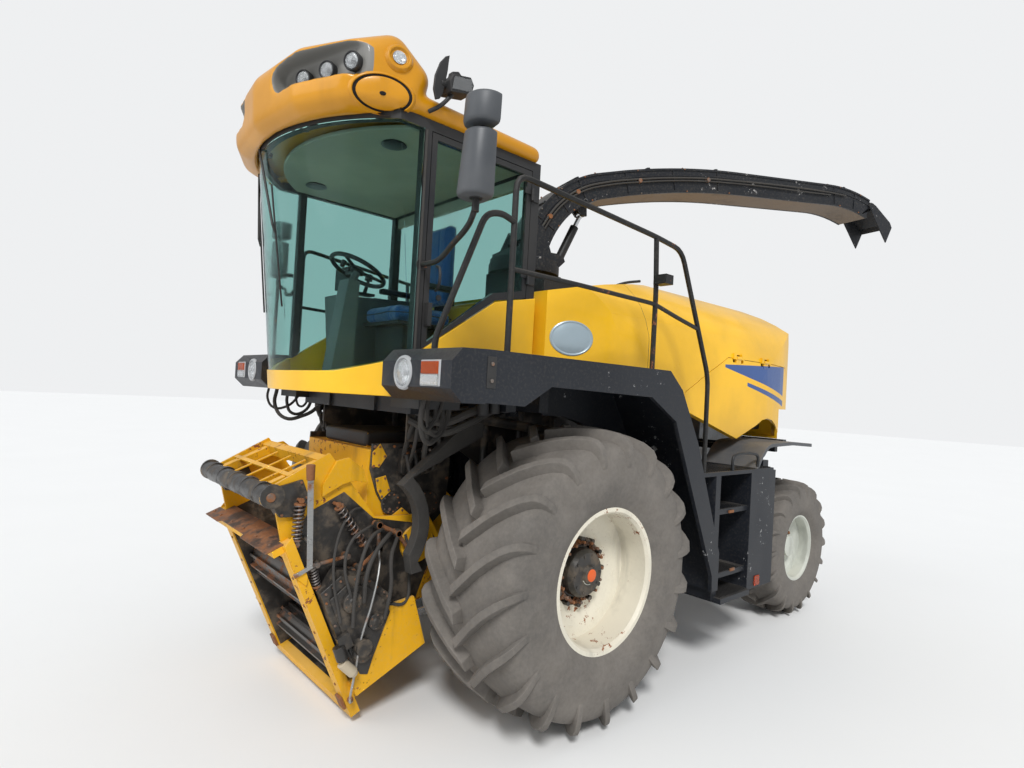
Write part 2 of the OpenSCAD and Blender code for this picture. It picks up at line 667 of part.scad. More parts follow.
// Platform and ladder on the left, tank on the right
deck_z = 1500;
deck_front = -1050;
ladder_front = -1231;
module deck_brackets() {
  for (x = [-1760, -1420]) block([x, rail_y, rail_z + 30], [x + 80, 640, rail_z + 130]);
}
module platform() {
  color("#30343a") placed() {
    block([-2150, 900, deck_z - 30], [deck_front, 1500, deck_z]);
    block([-1300, 1170, 560], [ladder_front - seat_gap, 1500, deck_z - 20]);
    block([-2190, 1180, 540], [-1770, 1500, deck_z - 20]);
    block([-1780, 620, 700], [-1290, 1180, deck_z - 20]);
    block([-2190, 900, 1200], [-1770, 1190, deck_z - 20]);
    for (z = [690, 1170]) block([-1775, 1175, z], [-1270, 1470, z + 40]);
    block([-1700, 1180, 540], [-1262, 1560, 580]);
    deck_brackets();
  }
}
module tank_r() {
  color("#30343a") placed() right_side() {
    block([-2150, 900, deck_z - 30], [deck_front, 1500, deck_z]);
    difference() {
      block([-2190, 620, 560], [ladder_front - seat_gap, 1500, deck_z - 20]);
      block([-1900, 1300, 500], [-1500, 1600, 1250]);
    }
    deck_brackets();
  }
}
rear_fender_line = concat(
  [[-1860, deck_z + seat_gap], [-1930, 1590]], arc([-2130, 1480], 220, 40, 90, 4),
  [[-2500, 1710], [-2900, 1690]]
);
module rear_fender_l() {
  color("#9a9c9c") placed() along_y(rear_fender_in, 1500) polygon(concat(
    rear_fender_line,
    [
      for (i = [len(rear_fender_line) - 1:-1:0])
        rear_fender_line[i] + (i < 2 ? [-30, 0] : i < 5 ? [-20, -22] : [0, -30])
    ]
  ));
}
rear_fender_in = 1020;
module rear_fender_r() { right_side() rear_fender_l(); }

// Handrails: the left side's run round the walkway, the right side's mirror it
rail_1 = [
  [790, 1400, 2200], [790, 1400, 3160], [-330, 1500, 3050], [-630, 1500, 3020], [-1040, 1500, 2190], [-1080, 1480, 1700], [-1080, 1480, deck_z],
];
module handrails() {
  color("#1f2022") placed() both_sides() {
    bent_bar(rounded(rail_1, 90), handrail_r);
    bent_bar(rounded([[-360, 1500, 2200], [-360, 1500, 2700], [-340, 1498, 3045]], 60), handrail_r);
    bent_bar(rounded([[790, 1402, 2650], [300, 1446, 2640], [-345, 1500, 2620], [-640, 1500, 2560], [-860, 1500, 2520]], 60), 14);
    bent_bar(rounded([[1100, 1180, 2200], [1100, 1180, 2260], [1000, 1420, 2890], [900, 1420, 2920], [790, 1402, 2900]], 50), handrail_r);
    block([-400, 1505, 2740], [-320, 1600, 2800]);
  }
}

// Mirrors: a large housing and a small round one over it, on one arm
module mirror_set(at) {
  translate([at[0], at[1], 2900]) cylinder(r = 98, h = 310);
  translate([at[0], at[1], 3225]) cylinder(r = 100, h = 120);
  translate([at[0], at[1], 2830]) cylinder(r = 18, h = 480);
  bent_bar(rounded([
    [at[0], at[1], 2845], [at[0] - 30, at[1] - 80, 2800], [1035, 1060, 2690], [1035, cab_y + seat_gap, 2690],
  ], 60), 16);
}
module mirrors() {
  color("#55585c") placed() {
    mirror_set([1170, 1555]);
    // The right one is folded back
    mirror([0, 1, 0]) mirror_set([960, 1555]);
  }
}
module belt_guard() {
  color("#1b1c1e") placed() along_y(660, 735) polygon(concat(
    arc([1140, 1170], 300, 125, 215, 8), [[870, 880], [790, 890]], arc([1140, 1170], 380, 215, 130, 8),
    [[cross_x[1], 1700], [cross_x[1], cab_z - cab_beam_h - seat_gap], [cross_x[1] + 80, cab_z - cab_beam_h - seat_gap]]
  ));
}

// Cab: a box whose front is a leaning drum, with one panel for each real one
cab_rear = 150;
pillar_x = 1050;
drum_lean = 6;
module cab_form(d) {
  intersection() {
    translate([174, 0, cab_z]) rotate([0, drum_lean, 0]) translate([0, 0, -400])
      cylinder(r = windshield_r - d, h = roof_z - cab_z + 1000, $fn = 96);
    block([cab_rear + d, -cab_y + d, cab_z - 1], [2000, cab_y - d, roof_z + 200]);
  }
}
sill_line = [
  [100, cab_z - 10], [1700, cab_z - 10], [1700, 2040], [1340, 2070], [1050, 2180], [480, 2560], [100, 2640],
];
floor_t = 60;
// Height of the sill above a place on the door's stretch of it
function sill_z(x) = x < 480 ? 2560 + (480 - x) * 80 / 380 : 2560 - (x - 480) * 2 / 3;
module cab_base() {
  color("#f0b010") placed() difference() {
    intersection() {
      cab_form(-8);
      along_y(-1000, 1000) polygon(sill_line);
      block([0, -1000, cab_z], [2000, 1000, 3000]);
    }
    intersection() {
      cab_form(40);
      block([0, -1000, cab_z + floor_t], [2000, 1000, 3000]);
    }
  }
}
module above_sill(rise) {
  along_y(-1000, 1000) polygon([
    [100, 2640 + rise], [480, 2560 + rise], [1050, 2180 + rise], [1340, 2070 + rise], [1700, 2040 + rise],
    [1700, roof_z - 40], [100, roof_z - 40],
  ]);
}
// The door's hinge pins stand on the rear pillar, one under each of its barrels
door_pin = [222, cab_y + 14];
door_barrel_z = [2750, 3300];
barrel_r = 12;
barrel_h = 40;
door_pin_r = 6;
module hinge_leaf(x0, x1, z) {
  block([x0, cab_y - 1, z], [x1, cab_y + 8, z + barrel_h]);
  translate([door_pin[0], door_pin[1], z]) cylinder(r = barrel_r, h = barrel_h);
}
module cab_frame() {
  color("#1d1f22") placed() for (z = door_barrel_z) {
    hinge_leaf(160, door_pin[0], z - barrel_h - seat_gap);
    translate([door_pin[0], door_pin[1], z - 10]) cylinder(r = door_pin_r, h = barrel_h + 10);
  }
  color("#1d1f22") placed() intersection() {
    cab_form(0);
    difference() {
      union() {
        both_sides() block([pillar_x - 40, cab_y - 60, cab_z], [pillar_x + 10, cab_y, roof_z]);
        both_sides() block([cab_rear, cab_y - 60, cab_z], [cab_rear + 70, cab_y, roof_z]);
        difference() {
          block([0, -1000, roof_z - 60], [2000, 1000, roof_z]);
          intersection() {
            cab_form(50);
            block([0, -1000, roof_z - 200], [2000, 1000, roof_z + 1]);
          }
        }
      }
      along_y(-1000, 1000) polygon(sill_line);
    }
  }
}
module windshield() {
  color("#7fb3a8", 0.35) placed() intersection() {
    difference() {
      cab_form(0);
      cab_form(glass_t);
    }
    above_sill(seat_gap);
    block([pillar_x + 10 + seat_gap, -1000, 0], [2000, 1000, roof_z - 60 - seat_gap]);
  }
}
module side_glass_r() {
  color("#7fb3a8", 0.35) placed() intersection() {
    block([cab_rear + 70 + seat_gap, -cab_y, 0], [pillar_x - 40 - seat_gap, -cab_y + glass_t, roof_z - 60 - seat_gap]);
    above_sill(seat_gap);
  }
}
module rear_glass() {
  color("#7fb3a8", 0.35) placed()
    block([cab_rear, -cab_y + 60 + seat_gap, 2650], [cab_rear + glass_t, cab_y - 60 - seat_gap, roof_z - 60 - seat_gap]);
}
door_x = [cab_rear + 70 + gap, pillar_x - 40 - gap];
module door_outline(d) {
  rise = gap + 1 + 1.2 * d;
  along_y(cab_y - 40, cab_y) polygon([
    [door_x[0] + d, roof_z - 60 - gap - d], [door_x[0] + d, sill_z(door_x[0]) + rise],
    [480 + d / 2, sill_z(480) + rise + 3], [door_x[1] - d, sill_z(door_x[1]) + rise],
    [door_x[1] - d, roof_z - 60 - gap - d],
  ]);
}
module door_frame() {
  color("#1d1f22") placed() {
    difference() {
      door_outline(0);
      door_outline(36);
    }
    difference() {
      for (z = door_barrel_z) hinge_leaf(door_pin[0], door_pin[0] + 60, z);
      translate([door_pin[0], door_pin[1], 0]) cylinder(r = door_pin_r + running, h = 5000);
    }
    block([door_x[1] - 36, cab_y, 2350], [door_x[1] - 10, cab_y + 40, 2480]);
  }
}
module door_glass() {
  color("#7fb3a8", 0.35) placed() intersection() {
    door_outline(36.3);
    block([0, cab_y - 24, 0], [2000, cab_y - 24 + glass_t, 4000]);
  }
}

// Roof: a brow over the windshield and a low shell behind it. Each ball is
// [x, y, height of its middle over the roof's underside, radius].
brow_balls = [
  [1600, 0, 60, 110], [1555, 450, 60, 110], [1430, 720, 60, 110], [1180, 850, 60, 95],
  [1600, 0, roof_h - 200, 120], [1555, 450, roof_h - 200, 120], [1430, 750, roof_h - 215, 115],
  [1400, 0, roof_h - 120, 120], [1370, 420, roof_h - 120, 120], [1250, 800, roof_h - 130, 110],
  [1130, 400, roof_h - 150, 100], [1140, 860, roof_h - 245, 95],
];
shell_balls = [[230, 880, 40, 60], [300, 500, 130, 60], [1150, 880, 60, 60], [1200, 500, roof_h - 230, 60]];
// Each half of the brow has a recess with three work lamps, turned outwards
lamp_band = [1505, 560, roof_z + roof_h - 230];
lamp_band_turn = 15;
lamp_pitch = 200;
lamp_out = 45;
lamp_low = 26;
lamp_r = 46;
recess_r = 86;
module at_lamp_band() {
  translate(lamp_band) rotate([0, 0, lamp_band_turn]) children();
}
module balls(list) {
  hull() for (b = list, s = [-1, 1]) translate([b[0], s * b[1], roof_z + b[2]]) sphere(r = b[3], $fn = 28);
}
module roof() {
  color("#eba40a") placed() difference() {
    union() {
      balls(brow_balls);
      balls(shell_balls);
    }
    // Seat on the cab's top frame, with the brow's lip left in front of the glass
    intersection() {
      cab_form(-4);
      block([0, -1100, 3000], [2000, 1100, roof_z]);
    }
    block([0, -1200, 3000], [1000, 1200, roof_z]);
    // Recesses for the work lamps
    both_sides() at_lamp_band() hull() for (s = [-1, 1])
      translate([0, s * (lamp_pitch + 70), 0]) rotate([0, 90, 0]) cylinder(r = recess_r, h = 400, $fn = 32);
  }
}
module roof_lamps() {
  color("#dfe6e8") placed() both_sides() at_lamp_band() for (i = [-1:1])
    translate([seat_gap, i * lamp_pitch + lamp_out, -lamp_low]) rotate([0, 90, 0]) cylinder(r = lamp_r, h = 45);
}

// Seat, console and wheel
module seat() {
  color("#2b3d66") placed() {
    hull() for (x = [345, 760], y = [-210, 210]) translate([x, y, 2450]) cylinder(r = 40, h = 110, $fn = 24);
    hull() for (z = [2620, 3180], y = [-200, 200]) translate([290, y, z]) rotate([0, 90, 0]) cylinder(r = 40, h = 90, $fn = 24);
  }
}
module seat_stand() {
  color("#222426") placed() {
    block([360, -190, cab_z + floor_t], [700, 190, 2430]);
    block([300, -240, 2425], [780, 240, 2449.7]);
    block([255, -60, 2425], [289.7, 60, 3000]);
    block([255, -60, 2425], [310, 60, 2449.7]);
  }
}
module console() {
  color("#25272a") placed() {
    along_y(-520, -330) polygon([[320, cab_z + floor_t], [900, cab_z + floor_t], [960, 2640], [320, 2680]]);
    along_y(-70, 70) polygon([[1000, cab_z + floor_t], [1160, cab_z + floor_t], [1060, 2700], [980, 2690]]);
    translate([1010, 0, 2680]) rotate([0, -25, 0]) cylinder(r = 25, h = 90);
  }
}
module steering_wheel() {
  color("#1b1b1c") placed() translate([1010, 0, 2680]) rotate([0, -25, 0]) translate([0, 0, 90.3]) {
    rotate_extrude($fn = 64) translate([190, 15]) circle(r = 15, $fn = 16);
    cylinder(r = 45, h = 25);
    for (a = [0, 120, 240]) rotate([0, 0, a]) block([30, -14, 6], [185, 14, 20]);
  }
}
// Place on the windshield's outer face, a distance out from it
function on_shield(y, z, out) = [
  174 + (z - cab_z) * tan(drum_lean) + sqrt(pow(windshield_r + out, 2) - y * y) / cos(drum_lean), y, z
];
wiper_out = 22;
module wipers() {
  color("#161718") placed() for (y = [-620, -160]) {
    bent_bar([
      on_shield(y, roof_z - 66, seat_gap), on_shield(y * (1 + wiper_out / windshield_r), roof_z - 68.3, wiper_out),
      on_shield(y + 190, 2950, wiper_out), on_shield(y + 200, 2900, 12),
    ], 8, 8);
    bent_bar([for (z = [3200:-125:2450]) on_shield(y + 170 + (3200 - z) * 0.1, z, 9)], 6, 8);
  }
}

// Intake: the header's mouth with its frame, walls, arms and springs
wall_t = 20;
wall_y = 480;
front_low = -700;
front_high = 450;
module intake_frame() {
  color("#e8a90c") at_intake() difference() {
    union() {
      // Front frame
      both_sides() block([mouth_x - 60, wall_y, front_low], [mouth_x, mouth_y, front_high]);
      block([mouth_x - 60, -mouth_y, front_high - 90], [mouth_x, mouth_y, front_high]);
      block([mouth_x - 60, -mouth_y, front_low], [mouth_x, mouth_y, front_low + 70]);
      // Side walls with the trunnion eyes
      both_sides() difference() {
        along_y(wall_y, wall_y + wall_t) polygon([
          [mouth_x - 20, front_low + 40], [mouth_x - 20, front_high], [700, 760], [330, 790], [200, 300],
          [-150, 130], [-180, -100], [0, -230], [380, -620],
        ]);
        cross_shaft(wall_y - 5, wall_y + wall_t + 5, trunnion_r + running);
      }
      // Lower brackets with the pins of the lift cylinders' eyes
      both_sides() along_y(620, 640) polygon([
        [mouth_x - 60, -560], [mouth_x - 60, -470], [345, -187], [190, -234], [223, -558],
      ]);
      both_sides() block([mouth_x - 80, wall_y + wall_t - 1, -560], [mouth_x - 55, 640, -480]);
      translate([lift_eye_in[0], 0, lift_eye_in[1]]) both_sides() cross_shaft(wall_y + 2, 640, 15);
      // Floor between the walls
      block([420, -wall_y - 5, front_low + 30], [mouth_x - 10, wall_y + 5, front_low + 60]);
      // Upper cross tube and beams
      translate([740, 0, 729]) cross_shaft(-560, 560, 55);
      for (y = [-430, 380]) block([330, y, 700], [720, y + 50, 760]);
      block([330, -wall_y - 5, 700], [390, wall_y + 5, 770]);
      // Shelf on top of the mouth
      block([mouth_x - 10, -560, front_high - 40], [mouth_x + 60, 560, front_high]);
    }
    for (at = [upper_roll_at, lower_roll_at]) translate(at) cross_shaft(-mouth_y, wall_y + wall_t + 5, roll_shaft_r + running);
    // Bores for the pins that lock a header on
    translate([mouth_x - 30, 0, front_low + 110]) cross_shaft(-mouth_y - 10, mouth_y + 10, header_pin_r);
  }
}
module intake_drive() {
  color("#232426") at_intake() {
    along_y(wall_y + wall_t + 30, wall_y + wall_t + 105) polygon([
      [650, -560], [690, -300], [650, 120], [560, 180], [400, 60], [340, -160], [400, -420], [520, -590],
    ]);
    translate([600, 0, -290]) cross_shaft(600, 700, 50);
    for (at = [upper_roll_at, lower_roll_at]) translate(at) cross_shaft(wall_y + wall_t + seat_gap, 560, 50);
  }
}
// Springs that carry the upper roll's arms, and the left lever. Springs are given by their ends
// in the intake's frame.
spring_ends = [[[596, 633], [702, 418]], [[410, 508], [341, 194]]];
spring_r = 24;
spring_turns = 6;
spring_y = 550;
function spring_path(a, b) = let(
  along = [b[0] - a[0], 0, b[1] - a[1]], u = unit(along), v = [u[2], 0, -u[0]], start = [a[0], spring_y, a[1]],
  n = 6 * spring_turns
) concat(
  [start, start + 0.08 * along],
  [
    for (i = [0:n])
      start + (0.14 + 0.68 * i / n) * along + spring_r * (cos(60 * i) * v + sin(60 * i) * [0, 1, 0])
  ],
  [start + 0.88 * along, start + along]
);
module intake_linkage() {
  color("#5a524a") at_intake() both_sides() {
    for (e = spring_ends) {
      bent_bar(spring_path(e[0], e[1]), 6, 5);
      for (p = e) translate([p[0], 0, p[1]]) cross_shaft(wall_y + wall_t + seat_gap, spring_y + 8, 9);
    }
  }
  // Lever with its knob
  color("#5a524a") at_intake() {
    translate([482, 0, 769]) rotate([0, 68.3, 0]) block([0, 588, -14], [581, 596, 14]);
    translate([560, 0, 573]) cross_shaft(wall_y + wall_t + seat_gap, 600, 12);
    translate([482, 592, 769]) sphere(r = 24, $fn = 20);
  }
}
header_pin_r = 15;
roll_shaft_r = 35;
upper_roll_at = [600, 0, 20];
lower_roll_at = [640, 0, -470];
module roll(r, bars) {
  cross_shaft(-wall_y + gap, wall_y - gap, r - 25);
  cross_shaft(-wall_y - wall_t + 1, wall_y + wall_t - 1, roll_shaft_r);
  for (i = [0:bars - 1]) rotate([0, i * 360 / bars, 0]) block([r - 30, -wall_y + 2 * gap, -8], [r, wall_y - 2 * gap, 8]);
}
module upper_roll() { color("#56524d") at_intake() translate(upper_roll_at) roll(upper_roll_r, 12); }
module lower_roll() { color("#56524d") at_intake() translate(lower_roll_at) roll(lower_roll_r, 10); }

// Lift cylinders between the axle's brackets and the intake's arms
lift_foot = [150, 0, 640];
lift_eye = [834, 0, 558];
lift_y = 575;
lift_pin_r = 20;
// The eye's place in the intake's own frame
lift_eye_in = let(d = lift_eye - pivot) [
  d[0] * cos(intake_tilt) - d[2] * sin(intake_tilt), d[0] * sin(intake_tilt) + d[2] * cos(intake_tilt)
];
lift_angle = atan2(lift_eye[2] - lift_foot[2], lift_eye[0] - lift_foot[0]);
lift_length = norm(lift_eye - lift_foot);
module at_lift() {
  placed() translate(lift_foot) rotate([0, -lift_angle, 0]) children();
}
module lift_barrels() {
  color("#e8a90c") at_lift() both_sides() difference() {
    union() {
      translate([60, lift_y, 0]) rotate([0, 90, 0]) cylinder(r = 42, h = 400);
      cross_shaft(lift_y - 29, lift_y + 29, 46);
      block([0, lift_y - 24, -30], [70, lift_y + 24, 30]);
    }
    translate([70, lift_y, 0]) rotate([0, 90, 0]) cylinder(r = 25 + running, h = 500);
    cross_shaft(lift_y - 40, lift_y + 40, lift_pin_r + running);
  }
}
module lift_rods() {
  color("#b9bcc0") at_lift() both_sides() difference() {
    union() {
      translate([240, lift_y, 0]) rotate([0, 90, 0]) cylinder(r = 25, h = lift_length - 240 - 30);
      translate([lift_length, 0, 0]) cross_shaft(lift_y - 30, lift_y + 30, 45);
    }
    translate([lift_length, 0, 0]) cross_shaft(lift_y - 40, lift_y + 40, 26);
  }
}

// Turret and spout: drawn with X out along the spout
module at_turret() {
  placed() translate([turret_x, 0, 0]) rotate([0, 0, 180 - spout_turn]) children();
}
spout_hinge = [-10, 3340];
spout_foot = [330, 3180];
spout_pin_r = 30;
spout_foot_r = 18;
cheek_y = spout_y + 12;
module turret() {
  color("#34383e") at_turret() difference() {
    union() {
      translate([0, 0, turret_z - 60]) cylinder(r = spigot_r, h = 70);
      translate([0, 0, turret_z]) cylinder(r = 290, h = 40);
      block([-210, -cheek_y - 18, turret_z], [230, cheek_y + 18, turret_z + 110]);
      both_sides() along_y(cheek_y, cheek_y + 18)
        polygon([[-160, turret_z + 100], [150, turret_z + 100], [60, 3400], [-70, 3400]]);
      // Clevis for the foot of the lift cylinder
      both_sides() along_y(42, 60) polygon([
        [200, turret_z + 20], [300, turret_z + 20], [spout_foot[0] + 40, spout_foot[1] - 10],
        [spout_foot[0] + 20, spout_foot[1] + 35], [spout_foot[0] - 30, spout_foot[1] + 30], [200, turret_z + 100],
      ]);
      translate([spout_foot[0], 0, spout_foot[1]]) cross_shaft(-60, 60, spout_foot_r);
    }
    // Crop passage
    translate([0, 0, turret_z - 70]) cylinder(r = spigot_r - 30, h = 120);
    block([-180, -spout_y + 10, turret_z + 30], [170, spout_y - 10, turret_z + 300]);
    translate([spout_hinge[0], 0, spout_hinge[1]]) cross_shaft(-300, 300, spout_pin_r + running);
  }
}
spout_start = 3290;
spout_back = 130;
spout_depth = 225;
// Slopes where the rise, the sweep and the drooping end stop
rise_slope = 18;
sweep_slope = 7;
end_slope = -12;
rise_c = [spout_rise_r - spout_back, 2990];
// The lift cylinder's eye hangs under the rise
spout_eye = rise_c + (spout_rise_r - spout_depth - 60) * [cos(118), sin(118)];
rise_end = rise_c + spout_rise_r * [-sin(rise_slope), cos(rise_slope)];
sweep_c = rise_end + spout_sweep_r * [sin(rise_slope), -cos(rise_slope)];
sweep_end = sweep_c + spout_sweep_r * [-sin(sweep_slope), cos(sweep_slope)];
end_start = sweep_end + spout_straight * [cos(sweep_slope), sin(sweep_slope)];
end_c = end_start + spout_tip_r * [sin(sweep_slope), -cos(sweep_slope)];
function spout_top(d) = concat(
  arc(rise_c, spout_rise_r - d, 180, 90 + rise_slope, 12),
  arc(sweep_c, spout_sweep_r - d, 90 + rise_slope - 2, 90 + sweep_slope, 5),
  arc(end_c, spout_tip_r - d, 90 + sweep_slope, 90 + end_slope, 6)
);
function reversed(p) = [for (i = [len(p) - 1:-1:0]) p[i]];
module spout() {
  color("#34383e") at_turret() difference() {
    union() {
      difference() {
        along_y(-spout_y, spout_y) polygon(concat(spout_top(0), reversed(spout_top(spout_depth))));
        along_y(-spout_y + spout_t, spout_y - spout_t)
          polygon(concat(spout_top(spout_t), reversed(spout_top(spout_depth + 20))));
      }
      translate([spout_hinge[0], 0, spout_hinge[1]]) both_sides() cross_shaft(spout_y - 4, cheek_y + 18, spout_pin_r);
      // Underside plate that carries the lift cylinder's eye
      along_y(-spout_y + 5, spout_y - 5) polygon(concat(
        arc(rise_c, spout_rise_r - spout_depth, 146, 110, 6),
        arc(rise_c, spout_rise_r - spout_depth + spout_t, 110, 146, 6)
      ));
      both_sides() along_y(32, 52) polygon([
        spout_eye + [-90, 36], spout_eye + [-30, -28], spout_eye + [30, -28], spout_eye + [22, 96],
      ]);
      translate([spout_eye[0], 0, spout_eye[1]]) cross_shaft(-52, 52, 10);
      // Deflector's hinge lugs on the end
      both_sides() translate([tip[0], 0, tip[1]]) rotate([0, -end_slope, 0])
        along_y(spout_y - 14, spout_y) polygon([[-60, -60], [-60, 20], [10, 20], [60, 0], [60, -60]]);
      translate([tip[0], 0, tip[1]]) rotate([0, -end_slope, 0]) translate([deflector_pin_x, 0, deflector_pin_z])
        both_sides() cross_shaft(spout_y - 14, spout_y + 16, 14);
    }
    block([-300, -500, 2900], [400, 500, spout_start]);
  }
}
deflector_drop = 40;
deflector_pin_x = 30;
deflector_pin_z = -20;
tip = end_c + (spout_tip_r - deflector_drop) * [-sin(end_slope), cos(end_slope)];
deflector_droop = 16;
module deflector() {
  color("#34383e") at_turret() translate([tip[0], 0, tip[1]]) rotate([0, -end_slope, 0])
    translate([deflector_pin_x, 0, deflector_pin_z]) rotate([0, deflector_droop, 0]) difference() {
      union() {
        along_y(-spout_y - 18, spout_y + 18) polygon([
          [45, -60], [deflector_l, -200], [deflector_l, 20], [deflector_l - 60, 50], [60, 50],
        ]);
        both_sides() along_y(spout_y + 6, spout_y + 18)
          polygon([[-35, -30], [-25, 25], [10, 40], [70, 50], [70, -60]]);
      }
      along_y(-spout_y - 6, spout_y + 6) polygon([
        [-50, -90], [deflector_l + 10, -240], [deflector_l + 10, 8], [deflector_l - 62, 38], [48, 38], [-50, 60],
      ]);
      cross_shaft(-300, 300, 14 + running);
    }
}

// Lift cylinder of the spout, from the turret's clevis to the spout's lugs
spout_reach = spout_eye - spout_foot;
spout_reach_l = norm(spout_reach);
module at_spout_cylinder() {
  at_turret() translate([spout_foot[0], 0, spout_foot[1]])
    rotate([0, -atan2(spout_reach[1], spout_reach[0]), 0]) children();
}
module spout_barrel() {
  color("#2a2d31") at_spout_cylinder() difference() {
    union() {
      translate([25, 0, 0]) rotate([0, 90, 0]) cylinder(r = 38, h = 335);
      cross_shaft(-30, 30, 40);
    }
    translate([60, 0, 0]) rotate([0, 90, 0]) cylinder(r = 20 + running, h = 400);
    cross_shaft(-60, 60, spout_foot_r + running);
  }
}
module spout_rod() {
  color("#b9bcc0") at_spout_cylinder() difference() {
    union() {
      translate([180, 0, 0]) rotate([0, 90, 0]) cylinder(r = 20, h = spout_reach_l - 180 - 26);
      translate([spout_reach_l, 0, 0]) cross_shaft(-26, 26, 36);
    }
    translate([spout_reach_l, 0, 0]) cross_shaft(-60, 60, 24);
  }
}

main_frame();
front_axle();
rear_axle();
engine();
cutter_housing();
crop_duct();
hood();
side_panel_l();
side_panel_r();
rear_grille();
rear_bumper();
fender_l();
fender_r();
front_lamps();
platform();
tank_r();
rear_fender_l();
rear_fender_r();
handrails();
mirrors();
belt_guard();
cab_base();
cab_frame();
roof();
roof_lamps();
windshield();
side_glass_r();
rear_glass();
seat();
seat_stand();
console();
steering_wheel();
wipers();
door_frame();
door_glass();
tyre_fl();
rim_fl();
hub_fl();
tyre_fr();
rim_fr();
hub_fr();
tyre_rl();
rim_rl();
tyre_rr();
rim_rr();
knuckle_l();
knuckle_r();
intake_frame();
intake_drive();
intake_linkage();
upper_roll();
lower_roll();
lift_barrels();
lift_rods();
turret();
spout();
spout_barrel();
spout_rod();
deflector();
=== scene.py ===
import json
import math
from math import cos, pi, radians, sin

import bmesh
import bpy
from mathutils import Matrix, Vector
from mathutils.bvhtree import BVHTree


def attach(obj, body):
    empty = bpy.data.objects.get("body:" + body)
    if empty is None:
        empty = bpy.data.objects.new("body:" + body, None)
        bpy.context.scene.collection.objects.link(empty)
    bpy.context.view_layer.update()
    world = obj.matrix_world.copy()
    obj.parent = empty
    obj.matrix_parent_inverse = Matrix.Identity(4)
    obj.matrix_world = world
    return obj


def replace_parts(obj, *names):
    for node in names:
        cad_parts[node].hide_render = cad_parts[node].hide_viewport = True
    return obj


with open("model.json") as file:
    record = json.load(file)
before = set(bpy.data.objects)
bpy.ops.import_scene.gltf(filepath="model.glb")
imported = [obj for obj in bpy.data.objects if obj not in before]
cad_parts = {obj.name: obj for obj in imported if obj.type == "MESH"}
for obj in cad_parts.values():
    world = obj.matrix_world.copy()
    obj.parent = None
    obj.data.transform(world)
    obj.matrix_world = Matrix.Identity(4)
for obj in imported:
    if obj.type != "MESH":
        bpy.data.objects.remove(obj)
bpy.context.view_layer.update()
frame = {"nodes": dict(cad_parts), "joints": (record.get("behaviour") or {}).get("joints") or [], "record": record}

bl_info = {
    "name": "Forage harvester finish",
    "version": (1, 0, 0),
    "blender": (4, 5, 0),
    "location": "View3D > Sidebar > Harvester",
    "description": "Paint, tyres, lamps, glass and trim for the forage harvester model",
    "category": "Object",
}

PIVOTS = {j["name"]: Vector(j["pos_m"]) for j in frame["joints"] if j.get("pos_m")}
AXLE_X = PIVOTS["front_left_wheel"].x
MM = 0.001
# Millimetres from the front axle, on the ground, to metres in the model's frame
MACHINE = Matrix.Translation((AXLE_X, 0, 0)) @ Matrix.Scale(MM, 4)
INTAKE_TILT = radians(23.7)
INTAKE = MACHINE @ Matrix.Translation((700, 0, 1000)) @ Matrix.Rotation(INTAKE_TILT, 4, "Y")
SPOUT_TURN = radians(180 - 14.8)
TURRET = MACHINE @ Matrix.Translation((-560, 0, 0)) @ Matrix.Rotation(SPOUT_TURN, 4, "Z")
BOTH = (1, -1)
HERE = Matrix.Identity(4)
UP = (0, 0, 1)
# Middle, turn and pitch of the three work lamps on the brow's left half
LAMP_BAND = (1505, 560, 3720)
LAMP_TURN = radians(15)
LAMP_PITCH = 200
LAMP_OUT, LAMP_LOW = 45, -12


# Meshes
def blanks(count):
    """Empty meshes to build in."""
    return [bmesh.new() for _ in range(count)]


def block(bm, low, high):
    """A box between two corners."""
    low, high = Vector(low), Vector(high)
    size = [abs(length) for length in high - low]
    place = Matrix.Translation((low + high) / 2) @ Matrix.Diagonal((*size, 1))
    return bmesh.ops.create_cube(bm, size=1, matrix=place)["verts"]


def aim(start, direction):
    """A frame at start whose Z runs along direction."""
    turn = Vector(direction).to_track_quat("Z", "Y").to_matrix().to_4x4()
    return Matrix.Translation(start) @ turn


def rod(bm, start, end, radius, end_radius=None, sides=24):
    """A capped round bar or cone from start to end."""
    start, end = Vector(start), Vector(end)
    along = end - start
    place = aim((start + end) / 2, along)
    return bmesh.ops.create_cone(
        bm, cap_ends=True, segments=sides, radius1=radius,
        radius2=radius if end_radius is None else end_radius, depth=along.length, matrix=place,
    )["verts"]


def pin(bm, side, x, z, y0, y1, *shape):
    """A round bar across one side of the machine, from y0 outwards to y1."""
    return rod(bm, (x, side * y0, z), (x, side * y1, z), *shape)


def joined(bm, part):
    """Moves a finished part into a larger bmesh."""
    mesh = bpy.data.meshes.new("part")
    part.to_mesh(mesh)
    part.free()
    bm.from_mesh(mesh)
    bpy.data.meshes.remove(mesh)


def turned(bm, outline, place=HERE, steps=48, closed=False):
    """Spins an outline of (radius, height) about the Z axis of a frame."""
    part = bmesh.new()
    verts = [part.verts.new((r, 0, h)) for r, h in outline]
    pairs = list(zip(verts, verts[1:])) + ([(verts[-1], verts[0])] if closed else [])
    edges = [part.edges.new(pair) for pair in pairs]
    bmesh.ops.spin(
        part, geom=verts + edges, cent=(0, 0, 0), axis=(0, 0, 1), angle=2 * pi, steps=steps, use_merge=True,
    )
    bmesh.ops.remove_doubles(part, verts=part.verts, dist=0.01)
    bmesh.ops.recalc_face_normals(part, faces=part.faces)
    bmesh.ops.transform(part, matrix=place, verts=part.verts)
    joined(bm, part)


